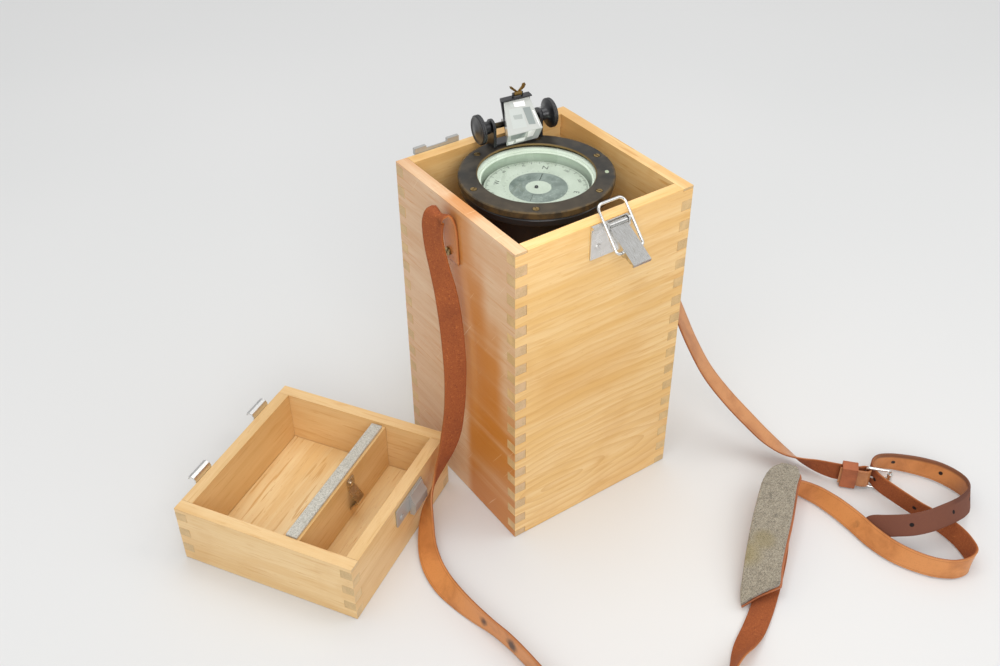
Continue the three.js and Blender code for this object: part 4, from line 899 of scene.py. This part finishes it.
shortStops = np.array([
    [101.6, -3, 283, 0, 0.85, 0.53], [101.6, 3, 293.5, 0, 0.87, 0.48],
    [101.9, 7, 304, 0, 0.93, 0.35], [103, 9.5, 314, 0, 0.97, 0.22],
    [106, 10.5, 321, 0.05, 1, 0.1], [110.5, 10, 323.5, 0.1, 1, 0],
    [115, 8, 319.5, 0.25, 0.97, 0], [118, 3, 307, 0.45, 0.9, 0],
    [120.5, -6, 286, 0.6, 0.8, 0], [123.5, -17, 257, 0.75, 0.66, 0],
    [127.5, -30, 225, 0.83, 0.56, 0], [133, -44, 192, 0.87, 0.5, 0],
    [140, -59, 160, 0.88, 0.48, 0], [148.5, -75, 125, 0.88, 0.48, 0],
    [159, -93, 92, 0.88, 0.48, 0], [171.5, -114, 65.5, 0.88, 0.48, 0],
    [184, -137, 43.5, 0.88, 0.48, 0], [195, -159, 26, 0.86, 0.46, -0.1],
    [205, -180, 15.5, 0.78, 0.4, -0.45], [213, -198, 12, 0.5, 0.25, -0.85],
    [220.5, -214, 12.6, 0.15, 0.1, -0.98], [228, -228, 13.6, 0, 0, -1],
    [235.5, -238, 14.4, 0, 0, -1], [242.2, -245.4, 14.6, 0, 0, -1],
])

padStops = np.array([
    [41, -301, 8.5, 0.6, -0.78, 0.1],
    [51.5, -293, 11.5, 0.6, -0.78, 0.1],
    [65, -282, 16, 0.6, -0.78, 0.08],
    [85.5, -266.5, 21, 0.6, -0.78, 0.05],
    [109, -249, 25, 0.6, -0.78, 0],
    [136, -229, 27.5, 0.6, -0.78, 0],
    [156, -215, 28, 0.6, -0.78, 0],
    [175.5, -203.5, 28, 0.6, -0.78, 0],
])

strap = {"width": 22, "thick": 2.4, "round": 0.8}
buckle = {"bar": np.array([247.0, -253.0]), "roller": np.array([263.0, -271.0]),
          "low": 1.6, "high": 27.6, "z": 14.6}
reach = buckle["roller"] - buckle["bar"]
ahead = reach / np.linalg.norm(reach)
aside = np.array([-ahead[1], ahead[0]])


# points at a distance along the buckle and an offset beside it
def atBuckle(distance, offset, z):
    distance, offset, z = np.broadcast_arrays(*(np.asarray(v, float) for v in (distance, offset, z)))
    flat = buckle["bar"] + distance[..., None] * ahead + offset[..., None] * aside
    return np.concatenate([flat, z[..., None]], -1)


# band with rounded edges; its width wanders a little, as cut leather does
def strapBand(name, node, stops, paint, seed, tipped=False):
    path = flow(stops, 2.0)
    line = path[:, :3]
    section = roundedBar(strap["width"], strap["thick"], strap["round"], 9, 4)
    u = np.concatenate([[0], np.cumsum(np.linalg.norm(np.diff(line, axis=0), axis=1))])
    phase = np.random.default_rng(seed).uniform(0, 6.28, 6)
    wander = 1 + 0.008 * sum(np.sin(u / (23 + 17 * k) + phase[k]) for k in range(3))
    thick = 1 + 0.05 * sum(np.sin(u / (31 + 13 * k) + phase[3 + k]) for k in range(3))
    if tipped:
        left = np.clip((u[-1] - u) / 16, 0, 1)
        wander = wander * (0.30 + 0.70 * np.sqrt(1 - (1 - left) ** 2))
    scale = np.stack([wander, thick], 1)[:, None]
    points, faces = sweep(line, path[:, 3:], section, scale)
    across = section[:, 0] / (strap["width"] / 2)
    face = np.clip(section[:, 1] / (strap["thick"] / 2), -1, 1)
    lay = np.stack(np.broadcast_arrays(u[:, None], across[None], face[None]), -1).reshape(-1, 3)
    made = piece(name, points, faces, "case", paint, [node], lay=lay)
    return made, line, u[-1]


holes = [float(v) for v in np.arange(1382, 1700, 50.0)]
# from 1430 to 1640 mm along, the long strap's top edge gets painted shade
longPaint = leather("strap_leather", "#d68e50", "#9a502a", "#9c5828", holes=holes,
                    spots=[((-0.188, -0.175, 0.011), 0.006), ((-0.184, -0.212, 0.011), 0.009),
                           ((0.1935, -0.292, 0.008), 0.006), ((-0.1945, -0.12, 0.018), 0.004)],
                    aged=(1500.0, 1615.0, "#6c4437"), wearAndShade=(1430.0, 1640.0))
shortPaint = leather("short_leather", "#d2935f", "#9a502a", "#9c5a30")
longSkin, longLine, longLength = strapBand("strap_long_skin", "shoulder_strap_long", longStops, longPaint,
                                           3, True)

# the short strap goes round the buckle's bar and back under the keeper
wrap = [(-1, 4), (2.6, 3.2), (4.1, 0), (2.6, -3.2), (-1, -4.2), (-6, -4.4), (-12, -4), (-19, -3.8),
        (-27, -3.6)]
wrapStops = np.array([[*atBuckle(d, o, buckle["z"]), 0, 0, -1] for d, o in wrap])
shortSkin, shortLine, shortLength = strapBand("strap_short_skin", "shoulder_strap_short",
                                              np.concatenate([shortStops, wrapStops]), shortPaint, 5)


def keeper():
    rings = []
    for distance in (-9.0, -25.0):
        for low, high, near, far in ((1.2, 28.0, 5.1, -7.8), (3.0, 26.2, 3.5, -6.2)):
            rings.append(atBuckle([distance] * 4, [near, far, far, near], [low, low, high, high]))
    points = np.concatenate([rings[0], rings[2], rings[3], rings[1]])
    faces = quads(4, 4, ringRows=True, ringCols=True)
    lay = np.tile([[0.0, 0.0, 1.0]], (16, 1))
    paint = leather("keeper_leather", "#b9683c", "#8c4a28", "#7c4022", creases=False)
    return piece("keeper_skin", points, faces, "case", paint, ["strap_keeper"],
                 smooth=False, lay=lay, bevel=0.5)


# bent wire round a rectangle with round corners, in the upright plane of the buckle
def buckleFrame():
    length = float(np.linalg.norm(reach))
    low, high, corner = buckle["low"], buckle["high"], 3.2
    middle = np.array([[corner, low + corner], [length - corner, low + corner],
                       [length - corner, high - corner], [corner, high - corner]])
    route = []
    for k, spot in enumerate(middle):
        a = np.radians(np.linspace(180 + 90 * k, 270 + 90 * k, 8))
        route.append(spot + corner * np.stack([np.cos(a), np.sin(a)], 1))
    route = np.concatenate(route)
    route = np.concatenate([route, route[:1]])
    path = atBuckle(route[:, 0], 0.0, route[:, 1])
    tangent = unit(np.roll(path[:-1], -1, 0) - np.roll(path[:-1], 1, 0))
    side = np.array([*aside, 0.0])
    face = np.cross(tangent, side)
    ring = circle(1.5, 14)
    points = path[:-1, None] + ring[None, :, :1] * side + ring[None, :, 1:] * face[:, None]
    faces = quads(len(path) - 1, 14, ringRows=True, ringCols=True)
    return piece("buckle_wire", points.reshape(-1, 3), faces, "case", chrome, ["buckle_frame"])


keeperSkin = keeper()
buckleWire = buckleFrame()
dress("buckle_roller", nickel, 0.3)
dress("buckle_tongue", nickel, 0.2)


# ---- shoulder pad: felt on a leather backing; its left edge rounds in at the upper end,
# and the lower end is cut on a slant
def pad(name, node, width, thick, lift, paint, fuzz, shift=0.0):
    path = flow(padStops, 1.2)
    line = path[:, :3] + [0, 0, lift]
    u = np.linspace(0, 1, len(line))[:, None]
    section = roundedBar(width, thick, min(thick / 2 - 0.05, 1.8), 40, 6)
    v = section[None, :, 0] / (width / 2)
    leftEnd = np.clip((u - 0.74) / 0.26, 0, 1)
    rightEnd = np.clip((u - 0.93) / 0.07, 0, 1)
    rounded = np.where(v < 0, 1 - 0.97 * leftEnd**2, 1 - 0.6 * rightEnd**2)
    nipped = np.where(v < 0, 0.22, 0.04) * np.clip(1 - u / 0.10, 0, 1) ** 2
    narrow = np.sqrt(np.clip(rounded, 0.02, 1)) * (1 + 0.035 * np.sin(9 * u + 2.5 * v) - nipped)
    tangent, side, face = axes(line, path[:, 3:])
    slant = (14.5 * v + 1.5) * np.clip(1 - u / 0.35, 0, 1) ** 2
    points = (line[:, None] + side[:, None] * (section[None, :, 0] * narrow + shift)[..., None]
              + face[:, None] * section[None, :, 1:] + tangent[:, None] * slant[..., None])
    rows, cols = points.shape[:2]
    faces = quads(rows, cols, ringCols=True)
    faces.append(list(range(cols)))
    faces.append(list(range((rows - 1) * cols, rows * cols)))
    points = points.reshape(-1, 3)
    grain = np.random.default_rng(23)
    directions = grain.normal(size=(9, 3)) * [[0.5], [0.8], [1.1], [0.25], [0.16], [1.4], [0.1], [2.0], [1.7]]
    phase = grain.uniform(0, 6.28, 9)
    rough = np.sin(points @ directions.T + phase).sum(1) / 9
    points = points + fuzz * rough[:, None] * [0.8, 0.8, 1.0]
    lay = np.zeros_like(points)
    lay[:, 2] = 1
    return piece(name, points, faces, "case", paint, [node], lay=lay)


padPaint = feltPaint("pad_grey_felt", "#b8af9c", "#655e52",
                     [((0.060, -0.262, 0.030), 0.022, "#9a8a4e"), ((0.085, -0.262, 0.030), 0.016, "#8f8150")])
padFelt = pad("pad_felt_skin", "pad_felt", 36.5, 5, 4, padPaint, 0.8)
padBack = pad("pad_leather_skin", "pad_leather", 38, 2, 0,
              leather("pad_backing", "#b4683a", "#8c4a28", "#7c3f1c", creases=False), 0.0, 1.6)
print("straps made", round(longLength), round(shortLength))

# ---- floor and light

floorPaint = Paint("floor_white", rough=0.9, specular=0.1)
floorCloud = floorPaint.noise(floorPaint.coords, 0.8, 2.0)
floorPaint.set(color=floorPaint.mix(floorPaint.step(floorCloud, 0.2, 0.8), "#dfe0df", "#e5e5e4"))
floorData = bpy.data.meshes.new("floor")
floorReach, floorTop = 8, -0.0004
floorCorners = [(x * floorReach, y * floorReach, floorTop) for x, y in ((-1, -1), (1, -1), (1, 1), (-1, 1))]
floorData.from_pydata(floorCorners, [], [(0, 1, 2, 3)])
floorData.materials.append(floorPaint.material)
floor = bpy.data.objects.new("floor", floorData)
bpy.context.scene.collection.objects.link(floor)

# sky: a bright dome that darkens towards the horizon, so that metal has something to mirror
world = bpy.data.worlds.new("studio")
bpy.context.scene.world = world
world.use_nodes = True
sky = world.node_tree
facing = sky.nodes.new("ShaderNodeTexCoord").outputs["Generated"]
split = sky.nodes.new("ShaderNodeSeparateXYZ")
sky.links.new(facing, split.inputs[0])
fade = sky.nodes.new("ShaderNodeValToRGB")
sky.links.new(split.outputs["Z"], fade.inputs[0])
bands = ((0.0, 0.42), (0.18, 0.55), (0.34, 0.85), (0.62, 0.97), (1.0, 1.0))
while len(fade.color_ramp.elements) < len(bands):
    fade.color_ramp.elements.new(0.5)
for element, (at, value) in zip(fade.color_ramp.elements, bands):
    element.position = at
    element.color = (value, value, value * 1.01, 1)
glow = sky.nodes["Background"]
sky.links.new(fade.outputs[0], glow.inputs["Color"])
glow.inputs["Strength"].default_value = 0.86


def softbox(name, place, target, size, power, shade=(1, 1, 1)):
    data = bpy.data.lights.new(name, "AREA")
    data.shape = "RECTANGLE"
    data.size, data.size_y = size
    data.energy = power
    data.color = shade
    lamp = bpy.data.objects.new(name, data)
    lamp.location = place
    lamp.rotation_euler = (Vector(target) - Vector(place)).to_track_quat("-Z", "Y").to_euler()
    bpy.context.scene.collection.objects.link(lamp)
    return lamp


softbox("key", (-1.1, -2.1, 1.5), (0, 0, 0.15), (1.5, 1.2), 25)
softbox("fill", (1.7, -1.3, 1.9), (0, 0, 0.2), (1.2, 1.2), 6)
softbox("top", (0.1, 0.2, 2.6), (0, 0, 0.2), (1.8, 1.8), 18)
inner = softbox("inner", (-0.10, -0.17, 0.52), (0.06, 0.06, 0.31), (0.10, 0.10), 0.28, (1, 0.93, 0.84))
inner.visible_camera = False
inner.visible_glossy = False
scene = bpy.context.scene
scene.view_settings.view_transform = "Standard"
scene.view_settings.look = "None"
scene.view_settings.exposure = -0.17
scene.cycles.max_bounces = 10
scene.cycles.transmission_bounces = 8
scene.cycles.use_denoising = True
